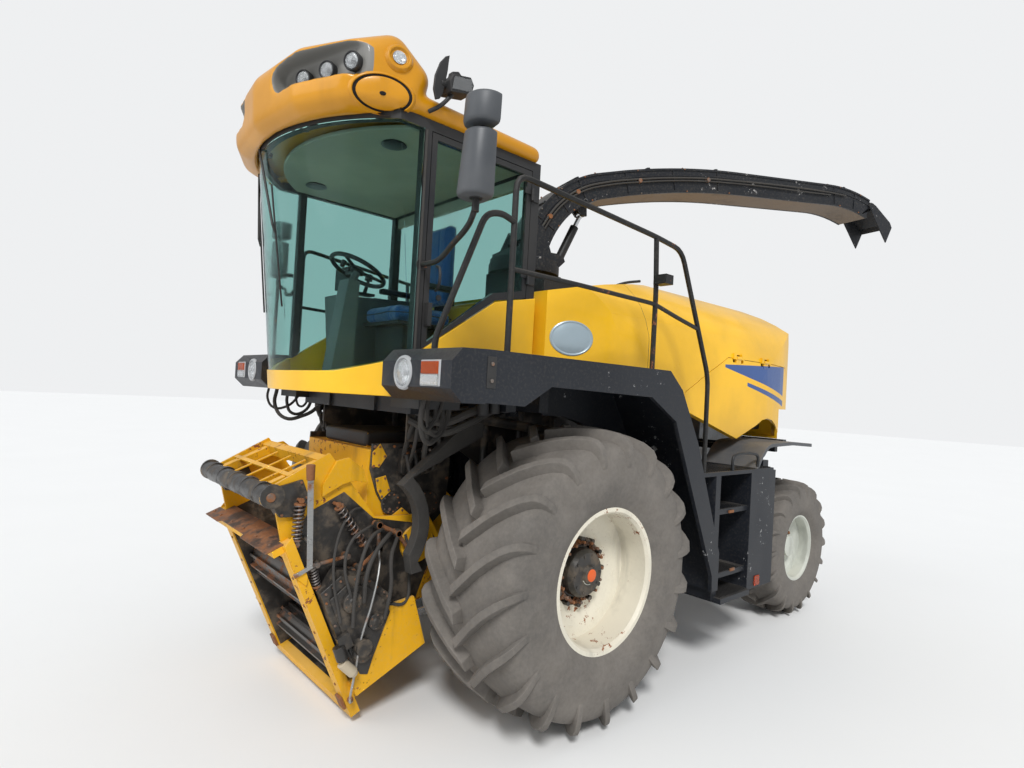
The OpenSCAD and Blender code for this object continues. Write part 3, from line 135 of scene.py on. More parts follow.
def plate(bm, outline, place, depth):
    """Raises a flat outline, drawn in X and Y of a frame, along its Z."""
    face = bm.faces.new([bm.verts.new((x, y, 0)) for x, y in outline])
    raised = bmesh.ops.extrude_face_region(bm, geom=[face])["geom"]
    top = [v for v in raised if isinstance(v, bmesh.types.BMVert)]
    bmesh.ops.translate(bm, vec=(0, 0, depth), verts=top)
    verts = list(face.verts) + top
    bmesh.ops.transform(bm, matrix=place, verts=verts)
    return verts


def pipe(bm, points, radius, sides=10):
    """A bent bar, hose or wire along a smooth path."""
    data = bpy.data.curves.new("path", "CURVE")
    data.dimensions = "3D"
    data.bevel_depth = radius
    data.bevel_resolution = max(1, sides // 4)
    data.resolution_u = 5
    data.use_fill_caps = True
    spline = data.splines.new("BEZIER")
    spline.bezier_points.add(len(points) - 1)
    for knot, point in zip(spline.bezier_points, points):
        knot.co = point
        knot.handle_left_type = knot.handle_right_type = "AUTO"
    holder = bpy.data.objects.new("path", data)
    mesh = bpy.data.meshes.new_from_object(holder)
    bm.from_mesh(mesh)
    bpy.data.objects.remove(holder)
    bpy.data.curves.remove(data)
    bpy.data.meshes.remove(mesh)


def coil(bm, start, end, radius, wire, turns, sides=8):
    """A coil spring from start to end."""
    start, end = Vector(start), Vector(end)
    place = aim(start, end - start)
    length = (end - start).length
    steps = int(turns * 14)
    points = []
    for i in range(steps + 1):
        a = 2 * pi * turns * i / steps
        points.append(place @ Vector((radius * cos(a), radius * sin(a), length * i / steps)))
    pipe(bm, points, wire, sides)


def around(radius, count):
    """Points evenly round a circle."""
    steps = [2 * pi * i / count for i in range(count)]
    return [(radius * cos(a), radius * sin(a)) for a in steps]


def drawn(points, centre, share):
    """Points moved by a share of their way to a centre."""
    return [tuple(a + (b - a) * share for a, b in zip(point, centre)) for point in points]


def nuts(bm, centres, direction, radius, height):
    """Hexagon heads standing on a surface."""
    for centre in centres:
        centre = Vector(centre)
        rod(bm, centre, centre + Vector(direction).normalized() * height, radius, radius * 0.9, 6)


def arc(centre, radius, a0, a1, n):
    """Points of an arc in a plane, in degrees."""
    steps = [radians(a0 + (a1 - a0) * i / n) for i in range(n + 1)]
    return [(centre[0] + radius * cos(a), centre[1] + radius * sin(a)) for a in steps]


def piece(name, bm, look, bevel=0.0, body="chassis", at=MACHINE, sharp=32, segments=2):
    """Turns a bmesh into an object of the model, rounded by bevel millimetres, that rides on a body."""
    bmesh.ops.transform(bm, matrix=at, verts=bm.verts)
    bmesh.ops.recalc_face_normals(bm, faces=bm.faces)
    mesh = bpy.data.meshes.new(name)
    bm.to_mesh(mesh)
    bm.free()
    mesh.polygons.foreach_set("use_smooth", [True] * len(mesh.polygons))
    mesh.set_sharp_from_angle(angle=radians(sharp))
    mesh.materials.append(LOOKS[look])
    obj = bpy.data.objects.new(name, mesh)
    bpy.context.scene.collection.objects.link(obj)
    if bevel:
        modifier = obj.modifiers.new("edges", "BEVEL")
        modifier.width = bevel * MM
        modifier.segments = segments
        modifier.limit_method = "ANGLE"
        modifier.angle_limit = radians(sharp)
        modifier.harden_normals = True
        modifier.miter_outer = "MITER_ARC"
    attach(obj, body)
    return obj


def merged_copy(node):
    """A bmesh of a CAD node with its loose triangles joined and its flat faces made whole."""
    bm = bmesh.new()
    bm.from_mesh(frame["nodes"][node].data)
    bmesh.ops.remove_doubles(bm, verts=bm.verts, dist=0.00002)
    bmesh.ops.dissolve_limit(bm, angle_limit=radians(0.6), verts=bm.verts, edges=bm.edges)
    return bm


def upright(bm, outline, y0, y1):
    """Raises an outline drawn in X and Z between two places across the machine."""
    place = Matrix(((1, 0, 0, 0), (0, 0, -1, max(y0, y1)), (0, 1, 0, 0), (0, 0, 0, 1)))
    return plate(bm, outline, place, abs(y1 - y0))


def hoses(bm, side, runs):
    """Hoses on one side of the machine, each given as its radius and its path."""
    for radius, *path in runs:
        pipe(bm, [(x, side * y, z) for x, y, z in path], radius)


def surface_of(node):
    """A search tree of a CAD node, in millimetres from the front axle."""
    bm = merged_copy(node)
    bmesh.ops.transform(bm, matrix=MACHINE.inverted(), verts=bm.verts)
    bmesh.ops.triangulate(bm, faces=bm.faces)
    tree = BVHTree.FromBMesh(bm)
    bm.free()
    return tree


def draped(bm, tree, centre, normal, wide, tall, outline, steps=64):
    """Spins an outline of (share of the half size, height) into an oval that follows a surface."""
    centre, normal = Vector(centre), Vector(normal).normalized()
    across = Vector((0, 0, 1)).cross(normal).normalized()
    up = normal.cross(across)
    part = bmesh.new()
    turned(part, [(r * 100, h) for r, h in outline], HERE, steps)
    for v in part.verts:
        start = centre + (across * v.co.x * wide + up * v.co.y * tall) / 100 + normal * 150
        hit = tree.ray_cast(start, -normal, 300)[0]
        v.co = (hit or start - normal * 150) + normal * v.co.z
    joined(bm, part)


# Finishes
class Finish:
    """A procedural material that is put together node by node."""

    def __init__(self, name, colour, rough, metal=0.0):
        self.material = bpy.data.materials.new(name)
        self.material.use_nodes = True
        tree = self.material.node_tree
        self.nodes, self.links = tree.nodes, tree.links
        self.shader = self.nodes["Principled BSDF"]
        self.set("Base Color", (*colour, 1))
        self.set("Roughness", rough)
        self.set("Metallic", metal)
        self.place = self.add("ShaderNodeTexCoord").outputs["Object"]
        self.height = None

    def set(self, socket, value):
        self.shader.inputs[socket].default_value = value
        return self

    def feed(self, socket, value):
        """Links another node's output into a socket, or sets a plain value there."""
        if isinstance(value, bpy.types.NodeSocket):
            self.links.new(value, socket)
        else:
            socket.default_value = (*value, 1) if socket.type == "RGBA" else value

    def add(self, kind, inputs=(), **settings):
        node = self.nodes.new(kind)
        for key, value in settings.items():
            setattr(node, key, value)
        for key, value in dict(inputs).items():
            self.feed(node.inputs[key], value)
        return node

    def stretched(self, scale):
        return self.add("ShaderNodeMapping", {"Vector": self.place, "Scale": scale}).outputs["Vector"]

    def noise(self, scale, detail=4.0, rough=0.55, vector=None):
        return self.add("ShaderNodeTexNoise", {
            "Vector": vector or self.place, "Scale": scale, "Detail": detail, "Roughness": rough,
        }).outputs["Fac"]

    def cells(self, scale):
        return self.add("ShaderNodeTexVoronoi", {"Vector": self.place, "Scale": scale}).outputs["Distance"]

    def wave(self, scale, distortion, along):
        return self.add("ShaderNodeTexWave", {
            "Vector": self.place, "Scale": scale, "Distortion": distortion,
        }, bands_direction=along).outputs["Fac"]

    def span(self, value, low, high, a=0.0, b=1.0):
        node = self.add("ShaderNodeMapRange", {
            "Value": value, "From Min": low, "From Max": high, "To Min": a, "To Max": b,
        }, interpolation_type="SMOOTHSTEP")
        return node.outputs["Result"]

    def maths(self, kind, a, b=0.0):
        return self.add("ShaderNodeMath", {0: a, 1: b}, operation=kind).outputs[0]

    def times(self, first, *others):
        for other in others:
            first = self.maths("MULTIPLY", first, other)
        return first

    def blend(self, most, some):
        """Sum of six tenths of one value and four tenths of another."""
        return self.maths("ADD", self.times(most, 0.6), self.times(some, 0.4))

    def mix(self, amount, first, second):
        return self.add("ShaderNodeMix", {0: amount, 6: first, 7: second}, data_type="RGBA").outputs[2]

    def upward(self):
        """How far a face looks up, from 0 to 1."""
        normal = self.add("ShaderNodeNewGeometry").outputs["Normal"]
        height = self.add("ShaderNodeSeparateXYZ", {"Vector": normal}).outputs["Z"]
        return self.span(height, 0.15, 0.95)

    def colour(self, value):
        self.links.new(value, self.shader.inputs["Base Color"])
        return self

    def rough(self, value):
        self.links.new(value, self.shader.inputs["Roughness"])
        return self

    def metal(self, value):
        self.links.new(value, self.shader.inputs["Metallic"])
        return self

    def bump(self, value, distance, strength=1.0):
        settings = {"Height": value, "Distance": distance, "Strength": strength}
        if self.height is not None:
            settings["Normal"] = self.height
        self.height = self.add("ShaderNodeBump", settings).outputs["Normal"]
        self.links.new(self.height, self.shader.inputs["Normal"])
        return self


DUST = (0.42, 0.36, 0.28)
RUST = (0.16, 0.055, 0.02)
GRIME = (0.03, 0.026, 0.022)
# Grey painted where the brow's lamp recesses are, as their shade
RECESS_SHADE_GREY = (0.21, 0.205, 0.19)
SEAM = (0.05, 0.03, 0.01)


def shade(colour, share, lift=0.0):
    """A lighter or darker form of a colour."""
    return tuple(min(1.0, c * share + lift) for c in colour)


def paint(name, colour, rough=0.35, coat=0.0, dust=0.25, grime=0.2, chips=0.0, chip_colour=RUST, metal=0.0,
          marks=None):
    """Weathered paint: broad fading, dust on what looks up, streaks, and chips down to rust."""
    f = Finish(name, colour, rough, metal)
    f.set("Coat Weight", coat).set("Coat Roughness", 0.12).set("Specular IOR Level", 0.35)
    broad = f.noise(1.3, 5.0)
    streak = f.noise(5.0, 5.0, 0.6, f.stretched((1.0, 1.0, 0.16)))
    fine = f.noise(60.0, 4.0)
    value = f.mix(f.span(broad, 0.35, 0.68), shade(colour, 0.86), shade(colour, 1.05, 0.004))
    if marks:
        value = marks(f, value)
    value = f.mix(f.times(f.span(streak, 0.52, 0.78), grime), value, GRIME)
    settled = f.times(f.upward(), f.span(broad, 0.3, 0.62), dust)
    thin = f.times(f.span(fine, 0.45, 0.75), dust * 0.35)
    value = f.mix(f.maths("MAXIMUM", settled, thin), value, DUST)
    roughness = f.span(f.blend(broad, fine), 0.3, 0.7, rough * 0.8, min(1.0, rough * 1.35 + dust * 0.2))
    if chips:
        edge = f.blend(f.noise(23.0, 7.0, 0.72), f.noise(2.1, 3.0))
        bare = f.span(edge, 0.64 - chips * 0.14, 0.655 - chips * 0.13)
        value = f.mix(bare, value, f.mix(f.noise(90.0, 3.0), chip_colour, shade(chip_colour, 2.2)))
        roughness = f.maths("MAXIMUM", roughness, f.times(bare, 0.75))
        f.bump(bare, 0.0012, -0.6)
    f.colour(value).rough(roughness)
    f.bump(f.noise(160.0, 2.0), 0.0004, 0.25)
    return f.material


def hood_marks(stripe):
    """Plain wedge stripe on both sides of the hood, and its panel seams."""
    def mark(f, value):
        spot = f.add("ShaderNodeSeparateXYZ", {"Vector": f.place}).outputs
        x = f.maths("SUBTRACT", spot["X"], AXLE_X)
        z = spot["Z"]
        beside = f.maths("GREATER_THAN", f.maths("ABSOLUTE", spot["Y"]), 0.9)

        def above(x0, z0, x1, z1):
            """1 over the line through two points, 0 under it."""
            slope = (z1 - z0) / (x1 - x0)
            return f.maths("GREATER_THAN", f.maths("SUBTRACT", z, f.times(x, slope)), z0 - slope * x0)

        def band(front, top, foot):
            """1 between two lines, from the hood's tail to a place in front of it."""
            under = f.maths("SUBTRACT", 1.0, above(*top))
            ahead, behind = f.maths("GREATER_THAN", x, -3.02), f.maths("LESS_THAN", x, front)
            return f.times(beside, under, above(*foot), ahead, behind)

        wedge = band(-1.74, (-1.62, 2.33, -3.0, 2.40), (-1.62, 2.33, -3.0, 2.12))
        tail = band(-2.12, (-2.0, 2.225, -3.0, 2.075), (-2.0, 2.195, -3.0, 2.02))
        value = f.mix(f.maths("MAXIMUM", wedge, tail), value, stripe)
        seam = f.maths("COMPARE", x, -0.69)
        seam.node.inputs[2].default_value = 0.0022
        return f.mix(f.times(seam, beside, f.maths("GREATER_THAN", z, 2.21)), value, SEAM)
    return mark


def roof_paint(name, colour):
    """Roof paint with grey painted shade in the brow's lamp recesses."""
    f = Finish(name, colour, 0.34)
    f.set("Coat Weight", 0.2).set("Coat Roughness", 0.12).set("Specular IOR Level", 0.35)
    broad = f.noise(1.3, 5.0)
    streak = f.noise(5.0, 5.0, 0.6, f.stretched((1.0, 1.0, 0.16)))
    value = f.mix(f.span(broad, 0.35, 0.68), shade(colour, 0.86), shade(colour, 1.05, 0.01))
    value = f.mix(f.times(f.span(streak, 0.52, 0.8), 0.12), value, GRIME)
    value = f.mix(f.times(f.upward(), 0.1), value, DUST)
    # Distance from the recess's middle line, measured in its own turned frame
    spot = f.add("ShaderNodeSeparateXYZ", {"Vector": f.place}).outputs
    ahead = f.maths("SUBTRACT", spot["X"], AXLE_X + LAMP_BAND[0] * MM)
    out = f.maths("SUBTRACT", f.maths("ABSOLUTE", spot["Y"]), LAMP_BAND[1] * MM)
    c, n = cos(LAMP_TURN), sin(LAMP_TURN)
    along = f.maths("SUBTRACT", f.times(out, c), f.times(ahead, n))
    depth = f.maths("ADD", f.times(ahead, c), f.times(out, n))
    over = f.maths("MAXIMUM", f.maths("SUBTRACT", f.maths("ABSOLUTE", along), 0.27))
    high = f.maths("SUBTRACT", spot["Z"], LAMP_BAND[2] * MM)
    near = f.maths("SQRT", f.maths("ADD", f.times(over, over), f.times(high, high)))
    # Painted shade: grey inside the recess outline stands in for the shade of the lamp recess
    inside = f.times(f.maths("LESS_THAN", near, 0.092), f.maths("GREATER_THAN", depth, -0.03))
    f.colour(f.mix(inside, value, RECESS_SHADE_GREY)).rough(f.span(inside, 0.0, 1.0, 0.3, 0.6))
    f.bump(f.noise(160.0, 2.0), 0.0004, 0.2)
    return f.material


def dusty_rubber(name, colour=(0.035, 0.034, 0.033), dust=0.7, scale=1.0):
    """Tyre rubber with pale dry dust in it."""
    f = Finish(name, colour, 0.85)
    broad = f.noise(3.0 * scale, 6.0, 0.62)
    fine = f.noise(40.0 * scale, 5.0, 0.7)
    cover = f.times(f.span(f.blend(broad, fine), 0.12, 0.78, 0.25), dust)
    pale = f.mix(f.noise(11.0 * scale, 4.0), (0.22, 0.195, 0.165), (0.30, 0.27, 0.24))
    f.colour(f.mix(cover, colour, pale))
    f.rough(f.span(cover, 0.0, dust, 0.62, 0.95))
    f.bump(fine, 0.002, 0.35).bump(f.cells(26.0 * scale), 0.0015, 0.2)
    return f.material


def moulded(name, colour, rough=0.55, dust=0.25):
    """Grained plastic with dust in its grain."""
    f = Finish(name, colour, rough)
    grain = f.cells(420.0)
    broad = f.noise(2.4, 5.0)
    looks_up = f.maths("ADD", f.times(f.upward(), 0.7), 0.3)
    cover = f.times(looks_up, f.times(f.span(broad, 0.35, 0.7), dust))
    tone = f.mix(f.span(broad, 0.3, 0.7), shade(colour, 0.85), shade(colour, 1.12))
    f.colour(f.mix(cover, tone, DUST))
    f.rough(f.span(broad, 0.3, 0.7, rough * 0.9, min(1.0, rough * 1.25)))
    f.bump(grain, 0.0006, 0.3)
    return f.material


def worn_metal(name, colour, rough=0.45, rust=0.4):
    """Bare or blackened metal with rust coming through."""
    f = Finish(name, colour, rough, 0.85)
    spread = f.noise(6.0, 8.0, 0.68)
    lines = f.noise(30.0, 3.0, 0.5, f.stretched((1.0, 1.0, 14.0)))
    cover = f.span(spread, 0.62 - rust * 0.25, 0.74 - rust * 0.2)
    tone = f.mix(lines, shade(colour, 0.75), shade(colour, 1.2))
    f.colour(f.mix(cover, tone, f.mix(f.noise(44.0, 5.0), RUST, (0.30, 0.13, 0.05))))
    f.metal(f.span(cover, 0.0, 1.0, 0.85, 0.0))
    f.rough(f.span(cover, 0.0, 1.0, rough, 0.9))
    f.bump(lines, 0.0004, 0.3).bump(f.noise(70.0, 6.0, 0.7), 0.001, 0.3)
    return f.material


def greasy_iron(name, colour=(0.03, 0.028, 0.026), dust=0.45):
    """Oily black castings with caked dirt."""
    f = Finish(name, colour, 0.4, 0.3)
    caked = f.noise(9.0, 7.0, 0.65)
    cover = f.times(f.span(caked, 0.46, 0.66), dust)
    tone = f.mix(f.noise(30.0, 4.0), colour, shade(colour, 2.0))
    f.colour(f.mix(cover, tone, (0.20, 0.15, 0.10)))
    f.rough(f.span(caked, 0.4, 0.7, 0.32, 0.9))
    f.metal(f.span(cover, 0.0, dust, 0.35, 0.0))
    f.bump(caked, 0.004, 0.5).bump(f.noise(120.0, 3.0), 0.0008, 0.3)
    return f.material


def glazing(name, colour, rough=0.03):
    """Tinted glass with a film of dust along it."""
    f = Finish(name, colour, rough)
    f.set("Transmission Weight", 1.0).set("IOR", 1.12).set("Specular IOR Level", 0.7)
    smear = f.noise(3.0, 6.0, 0.6, f.stretched((1.0, 1.0, 0.35)))
    f.rough(f.span(smear, 0.45, 0.8, rough, rough + 0.14))
    f.colour(f.mix(f.span(smear, 0.5, 0.85, 0.0, 0.25), colour, (0.62, 0.66, 0.62)))
    f.bump(f.noise(1.1, 1.0), 0.002, 0.04)
    return f.material


def lens(name, colour):
    """A moulded lamp lens with fine prisms."""
    f = Finish(name, colour, 0.08)
    f.set("Transmission Weight", 0.85).set("IOR", 1.3)
    f.bump(f.wave(90.0, 0.3, "Y"), 0.0015, 0.4)
    f.rough(f.span(f.noise(8.0, 4.0), 0.4, 0.8, 0.06, 0.3))
    return f.material


def cloth(name, colour):
    """Woven seat cloth."""
    f = Finish(name, colour, 0.9)
    f.set("Sheen Weight", 0.35).set("Sheen Roughness", 0.5)
    weave = f.times(f.wave(150.0, 0.4, "Y"), f.wave(150.0, 0.4, "Z"))
    worn = f.noise(7.0, 5.0)
    tone = f.mix(weave, shade(colour, 0.55), shade(colour, 1.35))
    f.colour(f.mix(f.span(worn, 0.5, 0.8, 0.0, 0.4), tone, (0.14, 0.18, 0.26)))
    f.rough(f.span(worn, 0.3, 0.7, 0.82, 0.98))
    f.bump(weave, 0.0008, 0.6)
    return f.material


LOOKS = {}


def make_finishes(colours):
    """All finishes of the machine, by name."""
    yellow, cab, work, slate = colours.hood, colours.roof, colours.intake, colours.slate
    LOOKS.update(
        hood=paint("Hood yellow", yellow, 0.34, coat=0.25, dust=0.07, grime=0.03,
                   marks=hood_marks((0.03, 0.085, 0.27))),
        # The roof and its covers share the roof amber, whose darkness is partly painted shade
        roof=roof_paint("Roof amber and painted shade", cab),
        intake=paint("Intake amber, worn", work, 0.42, dust=0.3, grime=0.6, chips=0.36),
        slate=paint("Slate paint", slate, 0.42, dust=0.14, grime=0.15, chips=0.10,
                    chip_colour=(0.2, 0.2, 0.2)),
        spout=paint("Spout slate", shade(slate, 0.7), 0.5, dust=0.25, grime=0.3, chips=0.3,
                    chip_colour=(0.25, 0.24, 0.23)),
        black=paint("Black bar paint", (0.012, 0.012, 0.012), 0.4, dust=0.12, grime=0.1, chips=0.3),
        guard=paint("Grey fender plastic", (0.085, 0.09, 0.098), 0.5, dust=0.3, grime=0.25),
        bezel=paint("Pale lamp frame", (0.42, 0.43, 0.44), 0.4, dust=0.2, grime=0.2),
        cream=paint("Cream rim paint", colours.rim, 0.42, dust=0.35, grime=0.35, chips=0.35),
        pale=paint("Pale rim paint", (0.62, 0.64, 0.57), 0.45, dust=0.4, grime=0.35, chips=0.3),
        housing=moulded("Mirror housing plastic", (0.066, 0.072, 0.080), 0.45, 0.12),
        plastic=moulded("Black moulded plastic", (0.011, 0.012, 0.014), 0.5, 0.12),
        lining=moulded("Grey cab lining", (0.10, 0.105, 0.11), 0.6, 0.15),
        rubber=dusty_rubber("Black gasket rubber", (0.015, 0.015, 0.015), 0.2, 3.0),
        tyre=dusty_rubber("Dusty tyre rubber"),
        iron=greasy_iron("Greasy black iron"),
        engine=greasy_iron("Engine iron", (0.09, 0.095, 0.1), 0.35),
        steel=worn_metal("Worn feed steel", (0.16, 0.15, 0.14), 0.45, 0.5),
        shelf=worn_metal("Rusty shelf plate", (0.16, 0.12, 0.10), 0.6, 0.85),
        spring=worn_metal("Spring steel", (0.24, 0.22, 0.21), 0.45, 0.45),
        dusty=paint("Dusty liner", (0.16, 0.125, 0.095), 0.8, dust=0.5, grime=0.5),
        beige=paint("Beige filter can", (0.55, 0.47, 0.34), 0.5, dust=0.35, grime=0.3),
        rusty=worn_metal("Rusty fittings", (0.22, 0.2, 0.18), 0.5, 0.95),
        lever=worn_metal("Grey lever steel", (0.42, 0.42, 0.41), 0.5, 0.25),
        bright=worn_metal("Bright rod", (0.78, 0.79, 0.8), 0.12, 0.02),
        mirror=worn_metal("Lamp reflector", (0.9, 0.9, 0.9), 0.08, 0.0),
        silver=worn_metal("Mirror glass", (0.86, 0.88, 0.9), 0.04, 0.0),
        amber_paint=paint("Roof cover amber and painted shade", cab, 0.34, coat=0.2, dust=0.06, grime=0.1),
        headliner=moulded("Pale headliner", (0.34, 0.32, 0.26), 0.7, 0.1),
        glass=glazing("Green tinted glass", (0.60, 0.83, 0.79)),
        lamp=lens("Clear lamp lens", (0.93, 0.95, 0.96)),
        amber=lens("Amber lamp lens", (0.95, 0.16, 0.03)),
        cloth=cloth("Blue seat cloth", (0.03, 0.12, 0.40)),
        badge=paint("Grey name plate", (0.38, 0.47, 0.52), 0.3, coat=0.3, dust=0.1, grime=0.05, metal=0.3),
        orange=paint("Orange cap", (0.75, 0.12, 0.02), 0.4, dust=0.15, grime=0.1),
        # Near black: painted shade in the roof covers' grooves, and the cab screen's own colour
        hole=moulded("Near black gap shade and screen", (0.006, 0.006, 0.006), 0.9, 0.0),
    )


# Settings
class HarvesterColours(bpy.types.PropertyGroup):
    hood: bpy.props.FloatVectorProperty(
        name="Hood", description="Paint of the hood and the cab's base", subtype="COLOR", size=3,
        default=(0.90, 0.50, 0.010), min=0, max=1)
    # Roof amber: its orange hue is the roof's own, and its darkness against the hood is partly painted shade of
    # the shaded roof
    roof: bpy.props.FloatVectorProperty(
        name="Roof", description="Paint of the cab's roof", subtype="COLOR", size=3,
        default=(0.64, 0.275, 0.002), min=0, max=1)
    intake: bpy.props.FloatVectorProperty(
        name="Intake", description="Paint of the intake and cutterhead", subtype="COLOR", size=3,
        default=(0.82, 0.42, 0.006), min=0, max=1)
    slate: bpy.props.FloatVectorProperty(
        name="Slate", description="Paint of the fenders, ladder and frame", subtype="COLOR", size=3,
        default=(0.011, 0.0135, 0.019), min=0, max=1)
    rim: bpy.props.FloatVectorProperty(
        name="Rims", description="Paint of the front rims", subtype="COLOR", size=3,
        default=(0.78, 0.73, 0.60), min=0, max=1)


class HarvesterSizes(bpy.types.PropertyGroup):
    lugs_front: bpy.props.IntProperty(
        name="Front lugs", description="Lugs on each half of a front tyre", default=19, min=16, max=22)
    lugs_rear: bpy.props.IntProperty(
        name="Rear lugs", description="Lugs on each half of a rear tyre", default=18, min=16, max=20)
    edge: bpy.props.FloatProperty(
        name="Edge", description="Rounding of sheet edges, in millimetres", default=4.0, min=0.5, max=10.0)
    sun: bpy.props.FloatProperty(
        name="Main lamp", description="Strength of the main soft lamp", default=2.3, min=0, max=10)
    sky: bpy.props.FloatProperty(
        name="Surround", description="Strength of the pale surround", default=0.62, min=0, max=2)


# Stage
CAMERA_AT = (2.861, 3.785, 1.988)
CAMERA_YAW, CAMERA_PITCH, CAMERA_ROLL = radians(-131.60), radians(1.01), radians(3.19)
FOCAL_PX, PHOTO_W = 599.84, 1024


class OBJECT_OT_stage(bpy.types.Operator):
    """Floor, soft light and the camera at the photograph's viewpoint"""
    bl_idname = "harvester.stage"
    bl_label = "Stage"

    def execute(self, context):
        sizes = context.scene.harvester_sizes
        scene = context.scene
        scene.view_settings.view_transform = "Standard"
        level_share = cos(CAMERA_PITCH)
        ahead = Vector((level_share * cos(CAMERA_YAW), level_share * sin(CAMERA_YAW), sin(CAMERA_PITCH)))
        level = ahead.cross(Vector((0, 0, 1))).normalized()
        rise = level.cross(ahead)
        right = level * cos(CAMERA_ROLL) + rise * sin(CAMERA_ROLL)
        up = rise * cos(CAMERA_ROLL) - level * sin(CAMERA_ROLL)
        turn = Matrix((right, up, -ahead)).transposed().to_4x4()
        data = bpy.data.cameras.new("photo view")
        data.sensor_fit, data.sensor_width = "HORIZONTAL", 36
        data.lens = 36 * FOCAL_PX / PHOTO_W
        data.clip_start, data.clip_end = 0.05, 200
        camera = bpy.data.objects.new("photo view", data)
        camera.matrix_world = Matrix.Translation(Vector(CAMERA_AT) + Vector((AXLE_X, 0, 0))) @ turn
        scene.collection.objects.link(camera)
        scene.camera = camera

        floor_look = Finish("Pale floor", (0.80, 0.80, 0.79), 0.85)
        floor_look.colour(floor_look.mix(floor_look.noise(0.6, 3.0), (0.79, 0.79, 0.78), (0.82, 0.82, 0.81)))
        bm = bmesh.new()
        bmesh.ops.create_grid(bm, x_segments=1, y_segments=1, size=60)
        mesh = bpy.data.meshes.new("floor")
        bm.to_mesh(mesh)
        bm.free()
        mesh.materials.append(floor_look.material)
        floor = bpy.data.objects.new("floor", mesh)
        scene.collection.objects.link(floor)

        world = bpy.data.worlds.new("surround")
        world.use_nodes = True
        scene.world = world
        nodes, links = world.node_tree.nodes, world.node_tree.links
        back = nodes["Background"]
        back.inputs["Color"].default_value = (0.93, 0.96, 1.0, 1)
        back.inputs["Strength"].default_value = sizes.sky
        shown = nodes.new("ShaderNodeBackground")
        shown.inputs["Color"].default_value = (0.86, 0.87, 0.88, 1)
        shown.inputs["Strength"].default_value = 1.0
        path = nodes.new("ShaderNodeLightPath")
        blend = nodes.new("ShaderNodeMixShader")
        links.new(path.outputs["Is Camera Ray"], blend.inputs[0])
        links.new(back.outputs[0], blend.inputs[1])
        links.new(shown.outputs[0], blend.inputs[2])
        links.new(blend.outputs[0], nodes["World Output"].inputs["Surface"])

        for name, turn_to, strength, angle in (
            ("main lamp", (0.55, 0.62, 0.85), sizes.sun, 14),
            ("fill lamp", (0.9, -0.25, 0.45), sizes.sun * 0.22, 40),
        ):
            light = bpy.data.lights.new(name, "SUN")
            light.energy, light.angle = strength, radians(angle)
            lamp = bpy.data.objects.new(name, light)
            lamp.matrix_world = Vector(turn_to).to_track_quat("Z", "Y").to_matrix().to_4x4()
            scene.collection.objects.link(lamp)
        return {"FINISHED"}


# Sheets, castings and frames that keep their solid's form
# look: rounding in mm of the edges of each node that has it
DRESSED = {
    "hood": {"hood": 5, "side_panel_l": 3, "side_panel_r": 3, "cab_base": 5},
    "intake": {"cutter_housing": 4, "intake_frame": 3, "lift_barrels": 2},
    "slate": {"fender_l": 5, "fender_r": 5, "platform": 5, "main_frame": 4, "rear_bumper": 5},
    "guard": {"rear_fender_l": 4, "rear_fender_r": 4},
    "spout": {"crop_duct": 3, "turret": 3, "spout": 2, "deflector": 2},
    "iron": {"front_axle": 8, "rear_axle": 8, "knuckle_l": 5, "knuckle_r": 5, "intake_drive": 6},
    "engine": {"engine": 10},
    "plastic": {"tank_r": 10, "cab_frame": 4, "door_frame": 3, "seat_stand": 6, "rear_grille": 2},
    "rubber": {"belt_guard": 4},
    "lining": {"console": 12},
}
DRESSED_SHARP = {"lift_barrels": 40}
# look: CAD nodes whose own mesh it covers
KEPT = {
    "black": "handrails spout_barrel wipers", "steel": "upper_roll lower_roll intake_linkage",
    "bright": "lift_rods spout_rod", "plastic": "steering_wheel", "cream": "rim_fl rim_fr",
    "pale": "rim_rl rim_rr", "iron": "hub_fl hub_fr", "mirror": "front_lamps roof_lamps", "roof": "roof",
    "glass": "windshield side_glass_r rear_glass door_glass", "cloth": "seat", "housing": "mirrors",
    "tyre": "tyre_fl tyre_fr tyre_rl tyre_rr",
}
BODY_OF = {n: b for b, ns in frame["record"]["behaviour"]["bodies"].items() for n in ns}


class OBJECT_OT_surfaces(bpy.types.Operator):
    """Paint, rubber, glass and metal on every solid, with rounded edges on sheets and castings"""
    bl_idname = "harvester.surfaces"
    bl_label = "Surfaces"

    def execute(self, context):
        make_finishes(context.scene.harvester_colours)
        edge = context.scene.harvester_sizes.edge / 4.0
        for look, nodes in DRESSED.items():
            for node, width in nodes.items():
                shell = piece(f"{node}_skin", merged_copy(node), look, width * edge, BODY_OF[node],
                              HERE, DRESSED_SHARP.get(node, 34))
                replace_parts(shell, node)
        for look, nodes in KEPT.items():
            for node in nodes.split():
                data = frame["nodes"][node].data
                data.materials.clear()
                data.materials.append(LOOKS[look])
        return {"FINISHED"}


# Wheels
# Stations of a lug on a front tyre from its middle to the sidewall, in mm:
# (top across, top radius, foot across, foot radius, sweep in degrees)
LUG_STATIONS = (
    (-14, 908, -14, 842, 0.0), (80, 907, 80, 841, 5.5), (160, 903, 160, 838, 10.5),
    (240, 896, 240, 832, 15.0), (310, 883, 305, 820, 18.5), (352, 862, 338, 800, 20.5),
    (374, 828, 354, 772, 21.8), (381, 784, 364, 742, 22.5), (380, 736, 369, 705, 23.0),
    (376, 694, 372, 684, 23.2),
)
SIDEWALL = ((418, 322), (430, 336), (455, 350), (500, 371), (560, 381), (620, 381), (684, 372))
# Radius, width and radius of the bead's seat, in mm
FRONT_TYRE = (910.0, 770.0, 442.0)
REAR_TYRE = (650.0, 500.0, 332.0)


